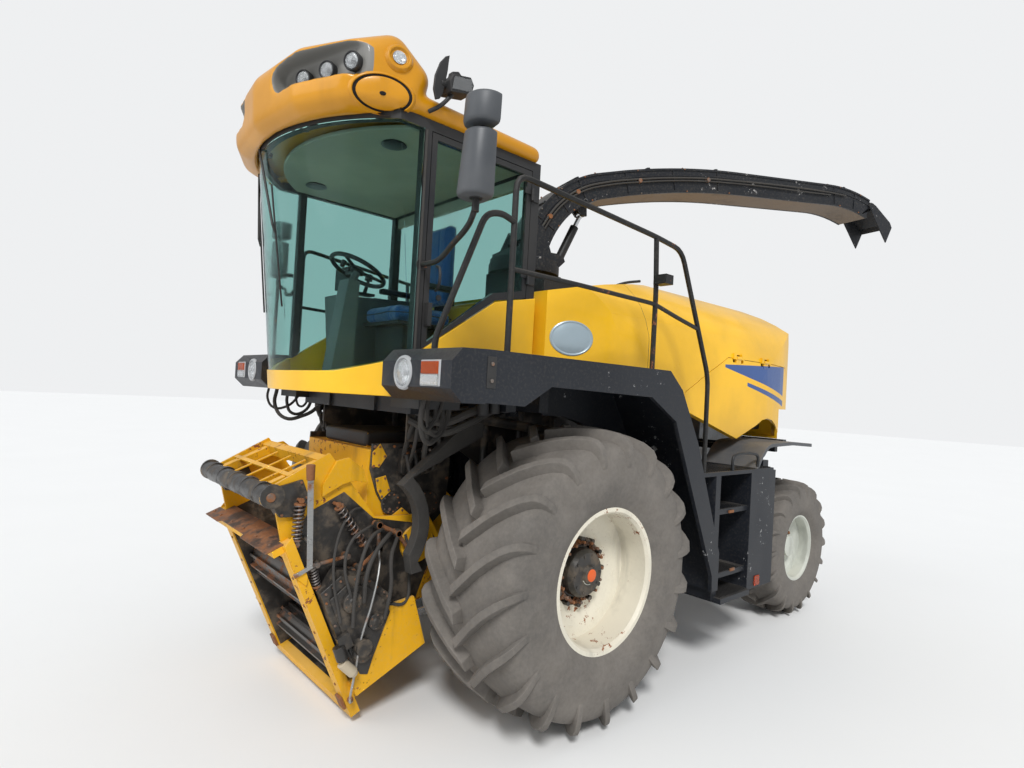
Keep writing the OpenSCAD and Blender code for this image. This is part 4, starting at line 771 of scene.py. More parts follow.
def tyre_mesh(radius, width, seat, lugs):
    """A farm tyre about the Z axis, its carcass spun and its lugs swept over it."""
    bm = bmesh.new()
    rs, ws, low = (a / b for a, b in zip((radius, width, seat), FRONT_TYRE))
    half = [(r * (low if r < 500 else rs), y * ws) for r, y in SIDEWALL]
    half += [(r * rs, y * ws) for _, _, y, r, _ in reversed(LUG_STATIONS[1:-1])]
    outline = [(r, -y) for r, y in half] + [(842 * rs, 0)] + [(r, y) for r, y in reversed(half)]
    turned(bm, outline, HERE, 96, closed=True)
    cuts = len(LUG_STATIONS) - 2
    for side in BOTH:
        for i in range(lugs):
            lug = bmesh.new()
            bmesh.ops.create_cube(lug, size=1)
            edges = [e for e in lug.edges if abs(e.verts[0].co.x - e.verts[1].co.x) > 0.5]
            bmesh.ops.subdivide_edges(lug, edges=edges, cuts=cuts, use_grid_fill=True)
            start = 2 * pi * (i + (0.5 if side < 0 else 0.0)) / lugs
            for v in lug.verts:
                k = min(cuts + 1, max(0, round((v.co.x + 0.5) * (cuts + 1))))
                top_y, top_r, foot_y, foot_r, sweep = LUG_STATIONS[k]
                top = v.co.z > 0
                y, r = (top_y * ws, top_r * rs) if top else (foot_y * ws - 2, foot_r * rs - 4)
                wide = (31 if top else 46) * (1.0 - 0.035 * k) * rs
                a = start + radians(sweep) + (wide * v.co.y * 2) / radius
                v.co = (r * cos(a), r * sin(a), side * y)
            joined(bm, lug)
    return bm


def wheel_frame(end, letter):
    """Frame of a wheel in millimetres: Z outwards, so that its lugs sweep up at the front."""
    joint, out = {"l": ("left", 1), "r": ("right", -1)}[letter]
    turn = Matrix(((1, 0, 0), (0, 0, out), (0, 1, 0))).to_4x4()
    return Matrix.Translation(PIVOTS[f"{end}_{joint}_wheel"]) @ turn @ Matrix.Scale(MM, 4)


class OBJECT_OT_tyres(bpy.types.Operator):
    """Farm tyres with two staggered rows of swept lugs"""
    bl_idname = "harvester.tyres"
    bl_label = "Tyres"

    def execute(self, context):
        sizes = context.scene.harvester_sizes
        for end, tyre, lugs, bevel in (
            ("front", FRONT_TYRE, sizes.lugs_front, 7), ("rear", REAR_TYRE, sizes.lugs_rear, 5),
        ):
            for letter in "lr":
                wheel = end[0] + letter
                tread = piece(f"tyre_{wheel}_tread", tyre_mesh(*tyre, lugs), "tyre", bevel, f"wheel_{wheel}",
                              wheel_frame(end, letter), 40)
                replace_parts(tread, f"tyre_{wheel}")
        return {"FINISHED"}


class OBJECT_OT_wheel_trim(bpy.types.Operator):
    """Wheel nuts, studs, hub caps, valves and lugs of the rims"""
    bl_idname = "harvester.wheel_trim"
    bl_label = "Wheel trim"

    def execute(self, context):
        for letter in "lr":
            place, body = wheel_frame("front", letter), f"wheel_f{letter}"
            studs, bolts, cap, guard, lugs, rear = blanks(6)
            for x, y in around(186, 16):
                nuts(studs, [(x, y, 92)], UP, 21, 24)
                rod(studs, (x, y, 90), (x, y, 96), 28)
                rod(studs, (x, y, 96), (x, y, 148), 11, 10, 12)
            nuts(bolts, [(x, y, 178) for x, y in around(112, 10)], UP, 11, 9)
            turned(bolts, [(0, 216), (44, 213), (50, 204), (50, 190), (64, 188), (66, 180)], HERE, 36)
            turned(bolts, [(120, 100), (158, 98), (160, 90), (212, 90), (214, 84)])
            turned(cap, [(0, 221), (30, 220), (38, 216), (38, 210), (0, 210)], HERE, 32)
            crescent = arc((0, 0), 62, -150, -30, 12) + arc((0, 14), 54, -38, -142, 10)
            plate(guard, crescent, Matrix.Translation((0, 0, 190)), 6)
            for i in range(8):
                turn = Matrix.Rotation(radians(45 * i + 10), 4, "Z") @ Matrix.Translation((330, 0, 0))
                bmesh.ops.transform(lugs, matrix=turn, verts=block(lugs, (0, -24, 84), (16, 24, 116)))
            rod(lugs, (398, 0, 150), (392, 0, 205), 7)
            rod(lugs, (392, 0, 205), (391, 0, 222), 9)
            piece(f"wheel_nuts_f{letter}", studs, "rusty", 1.5, body, place)
            piece(f"hub_bolts_f{letter}", bolts, "iron", 1, body, place)
            piece(f"hub_cap_f{letter}", cap, "orange", 0, body, place)
            piece(f"hub_guard_f{letter}", guard, "pale", 1, body, place)
            piece(f"rim_lugs_f{letter}", lugs, "cream", 3, body, place)
            nuts(rear, [(x, y, 60) for x, y in around(150, 8)], UP, 17, 22)
            place = wheel_frame("rear", letter)
            piece(f"wheel_nuts_r{letter}", rear, "rusty", 1.5, f"wheel_r{letter}", place)
        return {"FINISHED"}


# Cab
# Sizes of the remeshed skins, and how far a cushion may swell, in m
ROOF_VOXEL, CUSHION_VOXEL, CUSHION_SWELL = 0.010, 0.006, 0.014
CUSHION_PRESSURE, CUSHION_FRAMES = 4.0, 20
# Half widths and side views of the work lamp's case, its foot and its guard
WORK_LAMP = (
    (52, [(860, 3672), (1000, 3640), (1012, 3700), (990, 3742), (872, 3768), (846, 3730)]),
    (20, [(905, 3766), (985, 3742), (978, 3772), (935, 3788)]),
    (8, [(1068, 3585), (1086, 3640), (1080, 3720), (1052, 3800), (1018, 3846), (992, 3862), (996, 3828),
         (1000, 3770), (1012, 3700), (1022, 3640), (1040, 3600)]),
)


class OBJECT_OT_roof(bpy.types.Operator):
    """Moulded roof shell made smooth, with lamp rings, vents and corner lamps"""
    bl_idname = "harvester.roof"
    bl_label = "Roof"

    def execute(self, context):
        shell = piece("roof_shell", merged_copy("roof"), "roof", at=HERE, sharp=60)
        grid = shell.modifiers.new("skin", "REMESH")
        grid.mode, grid.voxel_size = "VOXEL", ROOF_VOXEL
        grid.use_smooth_shade = True
        soft = shell.modifiers.new("soften", "SMOOTH")
        soft.factor, soft.iterations = 0.6, 18
        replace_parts(shell, "roof")

        # Three lamps in each recess of the brow
        rings, bowls, lenses = blanks(3)
        for side in BOTH:
            x, y, z = LAMP_BAND
            band = Matrix.Translation((x, side * y, z)) @ Matrix.Rotation(side * LAMP_TURN, 4, "Z")
            for i in (-1, 0, 1):
                place = band @ aim((2, side * (i * LAMP_PITCH + LAMP_OUT), LAMP_LOW), (1, side * 0.22, -0.16))
                turned(rings, [(36, 2), (46, 2), (52, 40), (49, 50), (43, 51), (39, 42)], place, 40, True)
                turned(bowls, [(0, 6), (16, 9), (30, 22), (41, 42)], place, 32)
                glass = [(0, 56), (20, 54), (36, 48), (43, 44), (36, 45), (18, 50), (0, 52)]
                turned(lenses, glass, place, 32)
                rod(rings, place @ Vector((0, 0, 6)), place @ Vector((0, 0, 30)), 12, 9)
        piece("roof_lamp_rings", rings, "plastic", 1.5)
        bowl = piece("roof_lamp_bowls", bowls, "mirror")
        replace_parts(bowl, "roof_lamps")
        piece("roof_lamp_lenses", lenses, "lamp")

        # Oval covers on the brow's corners, with a near-black knob and a groove painted near black as its shade,
        # and round corner lamps
        covers, grooves, bowls, lenses, dark = blanks(5)
        skin = surface_of("roof")
        for side in BOTH:
            at = (skin, (1326, side * 882, 3562), (0.38, side * 0.85, -0.36), 166, 96)
            draped(covers, *at, [(0, 15), (0.45, 14), (0.80, 11), (0.85, 7), (0.86, -12)])
            draped(covers, *at, [(0.955, -12), (0.96, 8), (0.99, 13), (1.05, 9), (1.13, -8)])
            draped(grooves, *at, [(0.83, -8), (0.84, 4.5), (0.97, 4.5), (0.98, -8)])
            draped(grooves, *at, [(0, 20), (0.08, 19), (0.12, 13)], 24)
            at = (skin, (1258, side * 915, 3766), (0.283, side * 0.954, 0.02), 70, 70)
            ring = [(0.52, -6), (0.54, 8), (0.66, 9), (0.78, 20), (0.92, 20), (1.10, 6), (1.2, -10)]
            draped(covers, *at, ring)
            draped(bowls, *at, [(0, 2), (0.35, 5), (0.53, 12)], 40)
            draped(lenses, *at, [(0, 18), (0.30, 16.5), (0.53, 11), (0.30, 13), (0, 14)], 40)
            # Work lamp and its crescent guard on a bent bar beside the roof
            bar = (13, (1060, 925, 3545), (1020, 975, 3575), (985, 1000, 3620), (950, 1000, 3670))
            hoses(dark, side, (bar,))
            for half, outline in WORK_LAMP:
                upright(dark, outline, side * (1000 - half), side * (1000 + half))
            rod(dark, (1000, side * 1000, 3690), (1040, side * 1000, 3690), 16)
            lens_form = [(862, 3684), (866, 3752), (984, 3730), (996, 3656)]
            upright(lenses, lens_form, side * 1052, side * 1057)
            rod(dark, (1500, side * 300, 3470), (1500, side * 300, 3500), 22)
        piece("roof_covers", covers, "amber_paint", 1.5)
        # The grooves are painted near black as the shade in them; the knobs share that near black
        piece("roof_cover_grooves", grooves, "hole")
        piece("corner_lamp_bowls", bowls, "mirror")
        piece("corner_lamp_lenses", lenses, "lamp")
        piece("roof_work_lamps", dark, "plastic", 5)
        return {"FINISHED"}


class OBJECT_OT_mirrors(bpy.types.Operator):
    """Smooth mirror housings with their glass, necks and arms"""
    bl_idname = "harvester.mirrors"
    bl_label = "Mirrors"

    def execute(self, context):
        shells, glass, arms = blanks(3)
        for x, side in ((1170, 1), (960, -1)):
            y = side * 1553
            turn = Matrix.Rotation(radians(-12 * side), 4, "Z")
            for low, high, r0, r1, lean in ((2898, 3208, 90, 82, 34), (3240, 3378, 97, 98, 40)):
                shift = Matrix.Translation((x + 12 - lean * 0.5, y, 0)) @ turn
                part = bmesh.new()
                turned(part, [
                    (0, low), (r0 * 0.86, low), (r0 * 0.95, low + 5), (r0, low + 18),
                    (r1, high - 16), (r1 * 0.97, high - 5), (r1 * 0.9, high), (0, high),
                ], steps=56)
                for v in part.verts:
                    v.co.x -= (v.co.z - 3050) * lean / 340 * 0.5
                # Flat back for the glass
                cut = bmesh.ops.bisect_plane(
                    part, geom=part.verts[:] + part.edges[:] + part.faces[:],
                    plane_co=(-56, 0, 0), plane_no=(-1, 0, 0), clear_outer=True)
                edges = [e for e in cut["geom_cut"] if isinstance(e, bmesh.types.BMEdge)]
                bmesh.ops.contextual_create(part, geom=edges)
                bmesh.ops.transform(part, matrix=shift, verts=part.verts)
                joined(shells, part)
                part = bmesh.new()
                block(part, (-59, -r1 * 0.66, low + 20), (-55.5, r1 * 0.66, high - 16))
                bmesh.ops.transform(part, matrix=shift, verts=part.verts)
                joined(glass, part)
            rod(arms, (x, y, 2832), (x, y, 2904), 18)
            rod(arms, (x - 14, y, 3200), (x - 18, y, 3246), 15)
            rod(arms, (x, y, 2892), (x, y, 2906), 30, 34)
            pipe(arms, [(x, y, 2850), (x - 14, y - side * 40, 2818), (x - 34, y - side * 90, 2796),
                        ((x + 1035) / 2 - 16, side * 1270, 2742), (1037, side * 1062, 2692),
                        (1035, side * 980, 2688), (1035, side * 902, 2690)], 15, 12)
            pin(arms, side, 1035, 2690, 900, 910, 34)
        shell = piece("mirror_shells", shells, "housing", 1.2, sharp=50)
        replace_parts(shell, "mirrors")
        piece("mirror_glass", glass, "silver", 1)
        piece("mirror_arms", arms, "black", 1)
        return {"FINISHED"}


class OBJECT_OT_seat(bpy.types.Operator):
    """Driver's seat with simulated cushions"""
    bl_idname = "harvester.seat"
    bl_label = "Seat"

    def execute(self, context):
        for name, low, high in (
            ("seat_cushion", (322, -228, 2462), (782, 228, 2548)),
            ("seat_back", (300, -215, 2600), (372, 215, 3205)),
        ):
            bm = bmesh.new()
            block(bm, low, high)
            bmesh.ops.bevel(bm, geom=bm.edges[:], offset=26, segments=3, profile=0.5, affect="EDGES",
                            material=-1)
            pad = piece(name, bm, "cloth", sharp=80)
            pad.parent = None
            self.puff(context, pad)
            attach(pad, "chassis")
            if name == "seat_cushion":
                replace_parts(pad, "seat")
        bm = bmesh.new()
        for y in BOTH:
            block(bm, (330, y * 262 - 30, 2690), (640, y * 262 + 30, 2730))
            rod(bm, (335, y * 240, 2600), (335, y * 240, 2700), 16)
        piece("seat_arms", bm, "plastic", 10, segments=3)
        bm = bmesh.new()
        pipe(bm, [(782, -226, 2505), (784, 0, 2505), (782, 226, 2505), (330, 230, 2505)], 3.5)
        piece("seat_piping", bm, "rubber")
        return {"FINISHED"}

    @staticmethod
    def puff(context, pad):
        """Blows a cushion up as cloth and keeps the result."""
        grid = pad.modifiers.new("skin", "REMESH")
        grid.mode, grid.voxel_size = "VOXEL", CUSHION_VOXEL
        context.view_layer.update()
        view = context.evaluated_depsgraph_get()
        mesh = bpy.data.meshes.new_from_object(pad.evaluated_get(view))
        pad.modifiers.remove(grid)
        pad.data = mesh
        mesh.materials.clear()
        mesh.materials.append(LOOKS["cloth"])
        start = [v.co.copy() for v in mesh.vertices]
        sim = pad.modifiers.new("cloth", "CLOTH")
        fabric = sim.settings
        fabric.quality, fabric.mass = 4, 0.25
        fabric.use_pressure, fabric.uniform_pressure_force = True, CUSHION_PRESSURE
        fabric.effector_weights.gravity = 0.0
        fabric.tension_stiffness = fabric.compression_stiffness = 20
        scene = context.scene
        for step in range(1, CUSHION_FRAMES + 1):
            scene.frame_set(step)
        view = context.evaluated_depsgraph_get()
        swollen = pad.evaluated_get(view).to_mesh()
        moved = []
        for before, vertex in zip(start, swollen.vertices):
            shift = vertex.co - before
            moved.append(before + shift * min(1.0, CUSHION_SWELL / max(shift.length, 1e-9)))
        pad.evaluated_get(view).to_mesh_clear()
        pad.modifiers.remove(sim)
        scene.frame_set(1)
        for vertex, co in zip(mesh.vertices, moved):
            vertex.co = co
        low = [min(v.co[i] for v in mesh.vertices) for i in range(3)]
        high = [max(v.co[i] for v in mesh.vertices) for i in range(3)]
        mid_y = (low[1] + high[1]) / 2
        across = 2 if high[2] - low[2] > 0.3 else 0
        for vertex in mesh.vertices:
            # Sewn channels: three lengthways and one across
            pull = sum(math.exp(-((vertex.co.y - mid_y - s) / 0.007) ** 2) for s in (-0.105, 0.105))
            along = vertex.co[across] - (low[across] + high[across]) / 2
            pull += math.exp(-((along - 0.04) / 0.007) ** 2) * (abs(vertex.co.y - mid_y) < 0.105)
            vertex.co -= vertex.normal * 0.006 * pull
        mesh.update()
        mesh.polygons.foreach_set("use_smooth", [True] * len(mesh.polygons))
        smooth = pad.modifiers.new("smooth", "SUBSURF")
        smooth.levels = smooth.render_levels = 1


class OBJECT_OT_cab_inside(bpy.types.Operator):
    """Steering wheel, screens, switches and cab lining"""
    bl_idname = "harvester.cab_inside"
    bl_label = "Cab inside"

    def execute(self, context):
        bm = bmesh.new()
        lean = Vector((sin(radians(-25)), 0, cos(radians(-25))))
        hub = Vector((1010, 0, 2680)) + lean * 105.3
        place = aim(hub, lean)
        turned(bm, [(190 + x, y) for x, y in around(15, 12)], place, 72, True)
        turned(bm, [(0, 14), (34, 12), (48, 2), (48, -14), (0, -16)], place, 32)
        for x, y in around(30, 3):
            rod(bm, place @ Vector((x, y, -4)), place @ Vector((x * 6, y * 6, 0)), 13, 10, 12)
        rod(bm, place @ Vector((150, 60, 15)), place @ Vector((150, 60, 62)), 16, 20)
        wheel = piece("steering_wheel_rim", bm, "plastic", 1.5)
        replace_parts(wheel, "steering_wheel")

        bm = bmesh.new()
        block(bm, (880, -470, 2690), (910, -270, 2850))
        rod(bm, (890, -370, 2620), (890, -370, 2700), 14)
        block(bm, (620, -470, 2680), (760, -380, 2700))
        rod(bm, (690, -425, 2690), (660, -425, 2800), 16, 12)
        rod(bm, (660, -425, 2800), (655, -425, 2850), 30, 26)
        for i in range(5):
            block(bm, (420 + i * 36, -470, 2672), (444 + i * 36, -440, 2684))
        piece("cab_controls", bm, "plastic", 4)
        bm = bmesh.new()
        block(bm, (876, -455, 2705), (879.5, -285, 2835))
        piece("cab_screen", bm, "hole", 1)

        bm = bmesh.new()
        # Lining of the roof and a sun blind at the rear window's top
        front = arc((174 + 190 * sin(radians(20)), 0), 1196, -43.5, 43.5, 24)
        plate(bm, [(230, -830)] + front + [(230, 830)], Matrix.Translation((0, 0, 3462)), 26)
        block(bm, (165, -830, 3380), (200, 830, 3460))
        piece("cab_lining", bm, "headliner", 8)
        bm = bmesh.new()
        for s in BOTH:
            place = Matrix.Translation((1060, s * 560, 3462))
            turned(bm, [(0, 0), (70, 0), (78, -8), (62, -14), (0, -12)], place, 36)
        piece("cab_speakers", bm, "plastic")
        return {"FINISHED"}


# Intake
# Ends in (along, up) and radius of the springs and of the links between ball joints
SPRINGS = (((596, 633), (702, 418), 26), ((410, 508), (341, 194), 25), ((664, 262), (684, 112), 22))
LINKS = (
    ((219, 266), (269, 128), 12), ((462, 196), (640, 250), 11), ((465, 99), (583, 132), 10),
    ((219, 266), (120, 150), 14), ((269, 128), (420, 90), 12), ((120, 150), (70, -60), 12),
)
WALL = [
    (704, -590), (704, 400), (664, 470), (560, 530), (330, 540), (214, 300), (0, 152), (-118, 62),
    (-150, -88), (8, -218), (386, -596),
]
GEAR_CASE = [
    (700, 118), (560, 146), (420, 58), (335, -110), (322, -236), (420, -330), (560, -470), (640, -560),
    (690, -520), (702, -300),
]
GUARD = [(744, 716), (694, 752), (534, 724), (536, 616), (604, 530), (722, 588)]
KNEE = [(312, 735), (237, 720), (176, 610), (187, 530), (254, 578), (330, 590), (465, 580), (440, 640)]
MOUTH_WALL = [(766, -632), (766, 350), (700, 440), (420, 440), (300, 160), (180, -140), (420, -632)]
SHELF = [(764, -588), (860, -588), (860, -330), (838, -310), (838, 120), (866, 140), (866, 560), (764, 560)]
# Radius and path of each hose from the gear case up to the pivot
INTAKE_HOSES = (
    (11, (610, 668, -150), (540, 688, 30), (420, 664, 190), (320, 640, 260), (240, 600, 250),
     (190, 540, 210)),
    (13, (500, 660, -60), (430, 690, 110), (320, 670, 190), (220, 620, 200), (150, 540, 170)),
    (8, (660, 655, -90), (600, 640, 180), (500, 600, 330), (400, 560, 400), (320, 530, 420),
     (270, 512, 400)),
    (12, (420, 660, -230), (330, 690, -60), (250, 660, 100), (170, 600, 130), (110, 530, 130)),
    (10, (350, 640, -180), (260, 640, -230), (160, 600, -120), (90, 560, 0), (60, 520, 100)),
    (9, (560, 664, 10), (520, 640, 200), (420, 620, 300), (300, 590, 300), (230, 520, 260)),
)
# Side views of the cutterhead housing's cover and of the tabs on it, and its bolts
HOUSING_COVER = [
    (1032, 1640), (1038, 1480), (985, 1330), (905, 1205), (770, 1100), (600, 1070), (470, 1180), (440, 1400),
    (440, 1640),
]
HOUSING_TABS = (
    [(1030, 1588), (980, 1640), (930, 1560), (980, 1490), (1030, 1500)],
    [(1000, 1425), (930, 1440), (890, 1340), (950, 1290), (985, 1350)],
    [(880, 1180), (800, 1230), (700, 1150), (740, 1110), (830, 1130)],
)
HOUSING_BOLTS = (
    (1015, 1620), (1020, 1500), (965, 1345), (890, 1225), (760, 1122), (610, 1094), (492, 1190), (462, 1400),
    (462, 1600), (760, 1620), (880, 1620),
)
HOUSING_HOSES = (
    (15, (830, 500, 1560), (850, 560, 1640), (860, 620, 1740), (830, 650, 1840), (790, 660, 1900)),
    (12, (780, 500, 1500), (820, 580, 1560), (850, 660, 1660), (860, 700, 1780), (840, 710, 1900)),
    (17, (700, 500, 1480), (740, 600, 1520), (790, 680, 1620), (800, 720, 1740), (760, 740, 1880)),
    (11, (640, 500, 1540), (640, 600, 1580), (680, 670, 1660), (720, 700, 1780), (700, 690, 1900)),
    (13, (610, 500, 1500), (590, 580, 1540), (600, 640, 1640), (630, 650, 1780), (600, 640, 1900)),
)


class OBJECT_OT_intake_trim(bpy.types.Operator):
    """Springs, gear cases, hoses, lever, shelf and mouth lining of the intake"""
    bl_idname = "harvester.intake_trim"
    bl_label = "Intake trim"

    def execute(self, context):
        coils, irons, cases, fits, rubber, shelf, cans, paints, lining = blanks(9)
        for side in BOTH:
            def flat(bm, outline, y0, y1):
                """Raises an outline of the intake's side view between two places across it."""
                upright(bm, outline, side * y0, side * y1)

            def spot(n, u, y):
                return Vector((n, side * y, u))

            flat(irons, WALL, 500.4, 505)
            flat(cases, GEAR_CASE, 560, 632)
            flat(cases, [(n * 0.8 + 108, u * 0.8 - 34) for n, u in GEAR_CASE], 632, 646)
            # Bolts round the gear case, and round covers on it
            for a, b in zip(GEAR_CASE, GEAR_CASE[1:] + GEAR_CASE[:1]):
                for t in (0.12, 0.5, 0.88):
                    for n, u in drawn(drawn([a], b, t), (530, -190), 0.07):
                        pin(fits, side, n, u, 630, 640, 8, 7, 6)
            for n, u, r, y in ((560, -20, 62, 668), (470, -215, 52, 664), (600, -330, 66, 668)):
                h = y - 640
                cover = [(0, 0), (r, 0), (r - 4, h), (r * 0.45, h + 4), (r * 0.4, h + 12), (0, h + 12)]
                turned(cases, cover, aim(spot(n, u, 640), (0, side, 0)), 32)
                heads = [spot(n + dn, u + du, y - 4) for dn, du in around(0.72 * r, 6)]
                nuts(fits, heads, (0, side, 0), 6, 6)
            for (n0, u0), (n1, u1), r in SPRINGS:
                a, b = spot(n0, u0, 550), spot(n1, u1, 550)
                way = (b - a).normalized()
                coil(coils, a + way * 26, b - way * 26, r, 5.2, 8.5 if r > 23 else 6)
                rod(fits, a - way * 12, b + way * 12, 7)
                for end, sign in ((a, 1), (b, -1)):
                    rod(fits, end + way * sign * 16, end + way * sign * 27, r + 5)
                    pin(fits, side, end.x, end.z, 501, 566, 10)
                    pin(fits, side, end.x, end.z, 560, 572, 17, 17, 6)
            # Dark guard between the cross tube and the front spring, and yellow knee behind the springs
            flat(irons, GUARD, 430, 522)
            for n, u in drawn(GUARD, (630, 650), 0.14):
                pin(fits, side, n, u, 520, 530, 9, 8, 6)
            flat(paints, KNEE, 500.4, 520)
            flat(paints, [(716, 480), (772, 448), (772, 250), (740, 180), (716, 230)], 582, 590)
            for (n0, u0), (n1, u1), r in LINKS:
                rod(fits, spot(n0, u0, 556), spot(n1, u1, 556), r)
                for n, u in ((n0, u0), (n1, u1)):
                    pin(fits, side, n, u, 506, 574, r * 1.5)
                    pin(irons, side, n, u, 540, 572, r * 2.1, r * 1.8)
            # Filter can and pump on the gear case
            rod(cans, spot(736, -300, 664), spot(700, -392, 676), 31)
            rod(cans, spot(700, -392, 676), spot(694, -407, 678), 27, 22)
            rod(irons, spot(716, -210, 650), spot(724, -290, 662), 36, 34)
            block(irons, spot(640, -250, 640), spot(716, -160, 672))
            hoses(rubber, side, INTAKE_HOSES)
            flat(lining, MOUTH_WALL, 476.6, 479.8)
            # End discs of the cross tube, and header latches at the lower corners
            pin(irons, side, 729, 729, 556, 574, 66)
            pin(fits, side, 740, 729, 572, 580, 26, 22)
            pin(fits, side, 745, -590, 560, 596, 17)
            block(shelf, (776, side * 530 - 34, -640), (792, side * 530 + 34, -560))
            for u in (-480, -300, -120, 60, 240):
                rod(fits, (775, side * 530, u), (780, side * 530, u), 10, 9, 6)
        # Cross tubes with collars
        for n, u, r, half in ((738, 729, 57.5, 556), (672, 668, 33, 470)):
            rod(irons, (n, -half, u), (n, half, u), r)
            for y in (-430, -215, 0, 215, 430):
                rod(irons, (n - 6, y - 18, u), (n - 6, y + 18, u), r + 6)
        for y in (-330, -110, 110, 330):
            block(fits, (664, y - 9, 640), (748, y + 9, 700))
            block(paints, (420, y - 8, 762), (720, y + 8, 772))
        block(paints, (560, -470, 758), (590, 470, 770))
        # Stepped shelf, rusty, on top of the mouth, and the mouth's floor
        plate(shelf, SHELF, Matrix.Translation((0, 0, 450.3)), 7)
        for y in (-540, -400, -180, 40, 260, 480):
            rod(fits, (812, y, 456), (812, y, 464), 10, 9, 6)
        block(shelf, (700, -474, 446), (766, 474, 456))
        block(lining, (425, -474, -640), (764, 474, -636.5))

        # Lever on the left, and the grey cable from a ball joint to the lower corner
        lever, grip, cable = blanks(3)
        place = Matrix.Translation((489, 0, 806)) @ Matrix.Rotation(radians(69.2), 4, "Y")
        block(lever, (0, 590, -17), (566, 597, 17))
        block(lever, (0, 572, -17), (70, 597, -11))
        bmesh.ops.transform(lever, matrix=place, verts=lever.verts)
        block(lever, (676, 584, 262), (784, 600, 284))
        rod(lever, (640, 500, 408), (640, 606, 408), 12)
        rod(grip, (489, 593, 806), (520, 593, 726), 25, 22)
        pipe(cable, [(269, 560, 128), (330, 640, 80), (470, 688, -80), (585, 680, -225), (690, 664, -410),
                     (764, 640, -560), (745, 598, -600)], 7)
        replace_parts(piece("intake_springs", coils, "spring", 0, "intake", INTAKE, 60), "intake_linkage")
        for name, bm, look, bevel in (
            ("irons", irons, "iron", 4), ("cases", cases, "iron", 5), ("fittings", fits, "rusty", 1.2),
            ("hoses", rubber, "rubber", 0), ("shelf", shelf, "shelf", 1.5), ("cans", cans, "beige", 3),
            ("knees", paints, "intake", 2), ("lining", lining, "iron", 0.8), ("lever", lever, "lever", 1.5),
            ("lever_grip", grip, "rusty", 4), ("cable", cable, "lever", 0),
        ):
            piece(f"intake_{name}", bm, look, bevel, "intake", INTAKE)
        return {"FINISHED"}


class OBJECT_OT_housing_trim(bpy.types.Operator):
    """Covers, bars, brackets and hoses on the cutterhead housing"""
    bl_idname = "harvester.housing_trim"
    bl_label = "Housing trim"

    def execute(self, context):
        box, dark, bolts, rubber, tabs = blanks(5)
        block(box, (452, -306, 1598), (992, 306, 1702))
        for side in BOTH:
            # Only what stands behind the lifted intake reaches further out than its walls
            upright(dark, HOUSING_COVER, side * 450.4, side * 468)
            case = [(850, 1610), (850, 1455), (760, 1425), (640, 1450), (600, 1610)]
            upright(dark, case, side * 468, side * 520)
            for k in range(4):
                x, z = 640 + k * 58, 1590 - k * 6
                rod(dark, (x, side * 520, z), (x - 8, side * 556, 1470 - k * 4), 21, 19)
                rod(bolts, (x, side * 522, z + 2), (x + 2, side * 520, z + 18), 14, 14, 6)
            for x, z, r in ((880, 1262, 74), (610, 1240, 92)):
                pin(dark, side, x, z, 468, 473, r, r - 8)
                for dx, dz in around(0.76 * r, 10):
                    pin(bolts, side, x + dx, z + dz, 471, 477, 7, 6, 6)
            for x, z in HOUSING_BOLTS:
                pin(bolts, side, x, z, 467, 477, 11, 10, 6)
            for outline in HOUSING_TABS:
                upright(tabs, outline, side * 468, side * 473)
                middle = [sum(values) / len(outline) for values in zip(*outline)]
                for x, z in drawn(outline[:4], middle, 0.25):
                    pin(bolts, side, x, z, 472, 477.5, 9, 8, 6)
            hoses(rubber, side, HOUSING_HOSES)
        piece("housing_cover", box, "plastic", 26, segments=3)
        piece("housing_covers", dark, "iron", 5)
        piece("housing_bolts", bolts, "rusty", 1)
        piece("housing_hoses", rubber, "rubber")
        piece("housing_brackets", tabs, "intake", 2)
        return {"FINISHED"}


# Body
class OBJECT_OT_lamps(bpy.types.Operator):
    """Headlamps and turn lamps"""
    bl_idname = "harvester.lamps"
    bl_label = "Lamps"

    def execute(self, context):
        rings, bowls, lenses, amber, frames = blanks(5)
        for s in BOTH:
            place = aim((1192, s * 1130, 2070), (1, 0, 0))
            ring = [(70, 40), (84, 36), (90, 48), (86, 62), (74, 66), (70, 58)]
            turned(rings, ring, place, closed=True)
            turned(bowls, [(0, 6), (26, 9), (54, 26), (74, 50)], place, 40)
            glass = [(0, 78), (30, 75), (58, 66), (74, 56), (58, 60), (30, 69), (0, 72)]
            turned(lenses, glass, place, 40)
            rod(rings, (1200, s * 1130, 2070), (1232, s * 1130, 2070), 14)
            block(frames, (1206, s * 1380 - 84, 2006), (1254, s * 1380 + 84, 2134))
            block(amber, (1252, s * 1380 - 70, 2066), (1262, s * 1380 + 70, 2126))
            block(bowls, (1250, s * 1380 - 70, 2014), (1256, s * 1380 + 70, 2062))
            block(lenses, (1252, s * 1380 - 72, 2012), (1262, s * 1380 + 72, 2064))
        trim = piece("headlamp_bowls", bowls, "mirror")
        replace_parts(trim, "front_lamps")
        piece("headlamp_rings", rings, "bezel", 2)
        piece("headlamp_lenses", lenses, "lamp", 1)
        piece("turn_lamp_frames", frames, "bezel", 5)
        piece("turn_lamp_lenses", amber, "amber", 3)
        return {"FINISHED"}


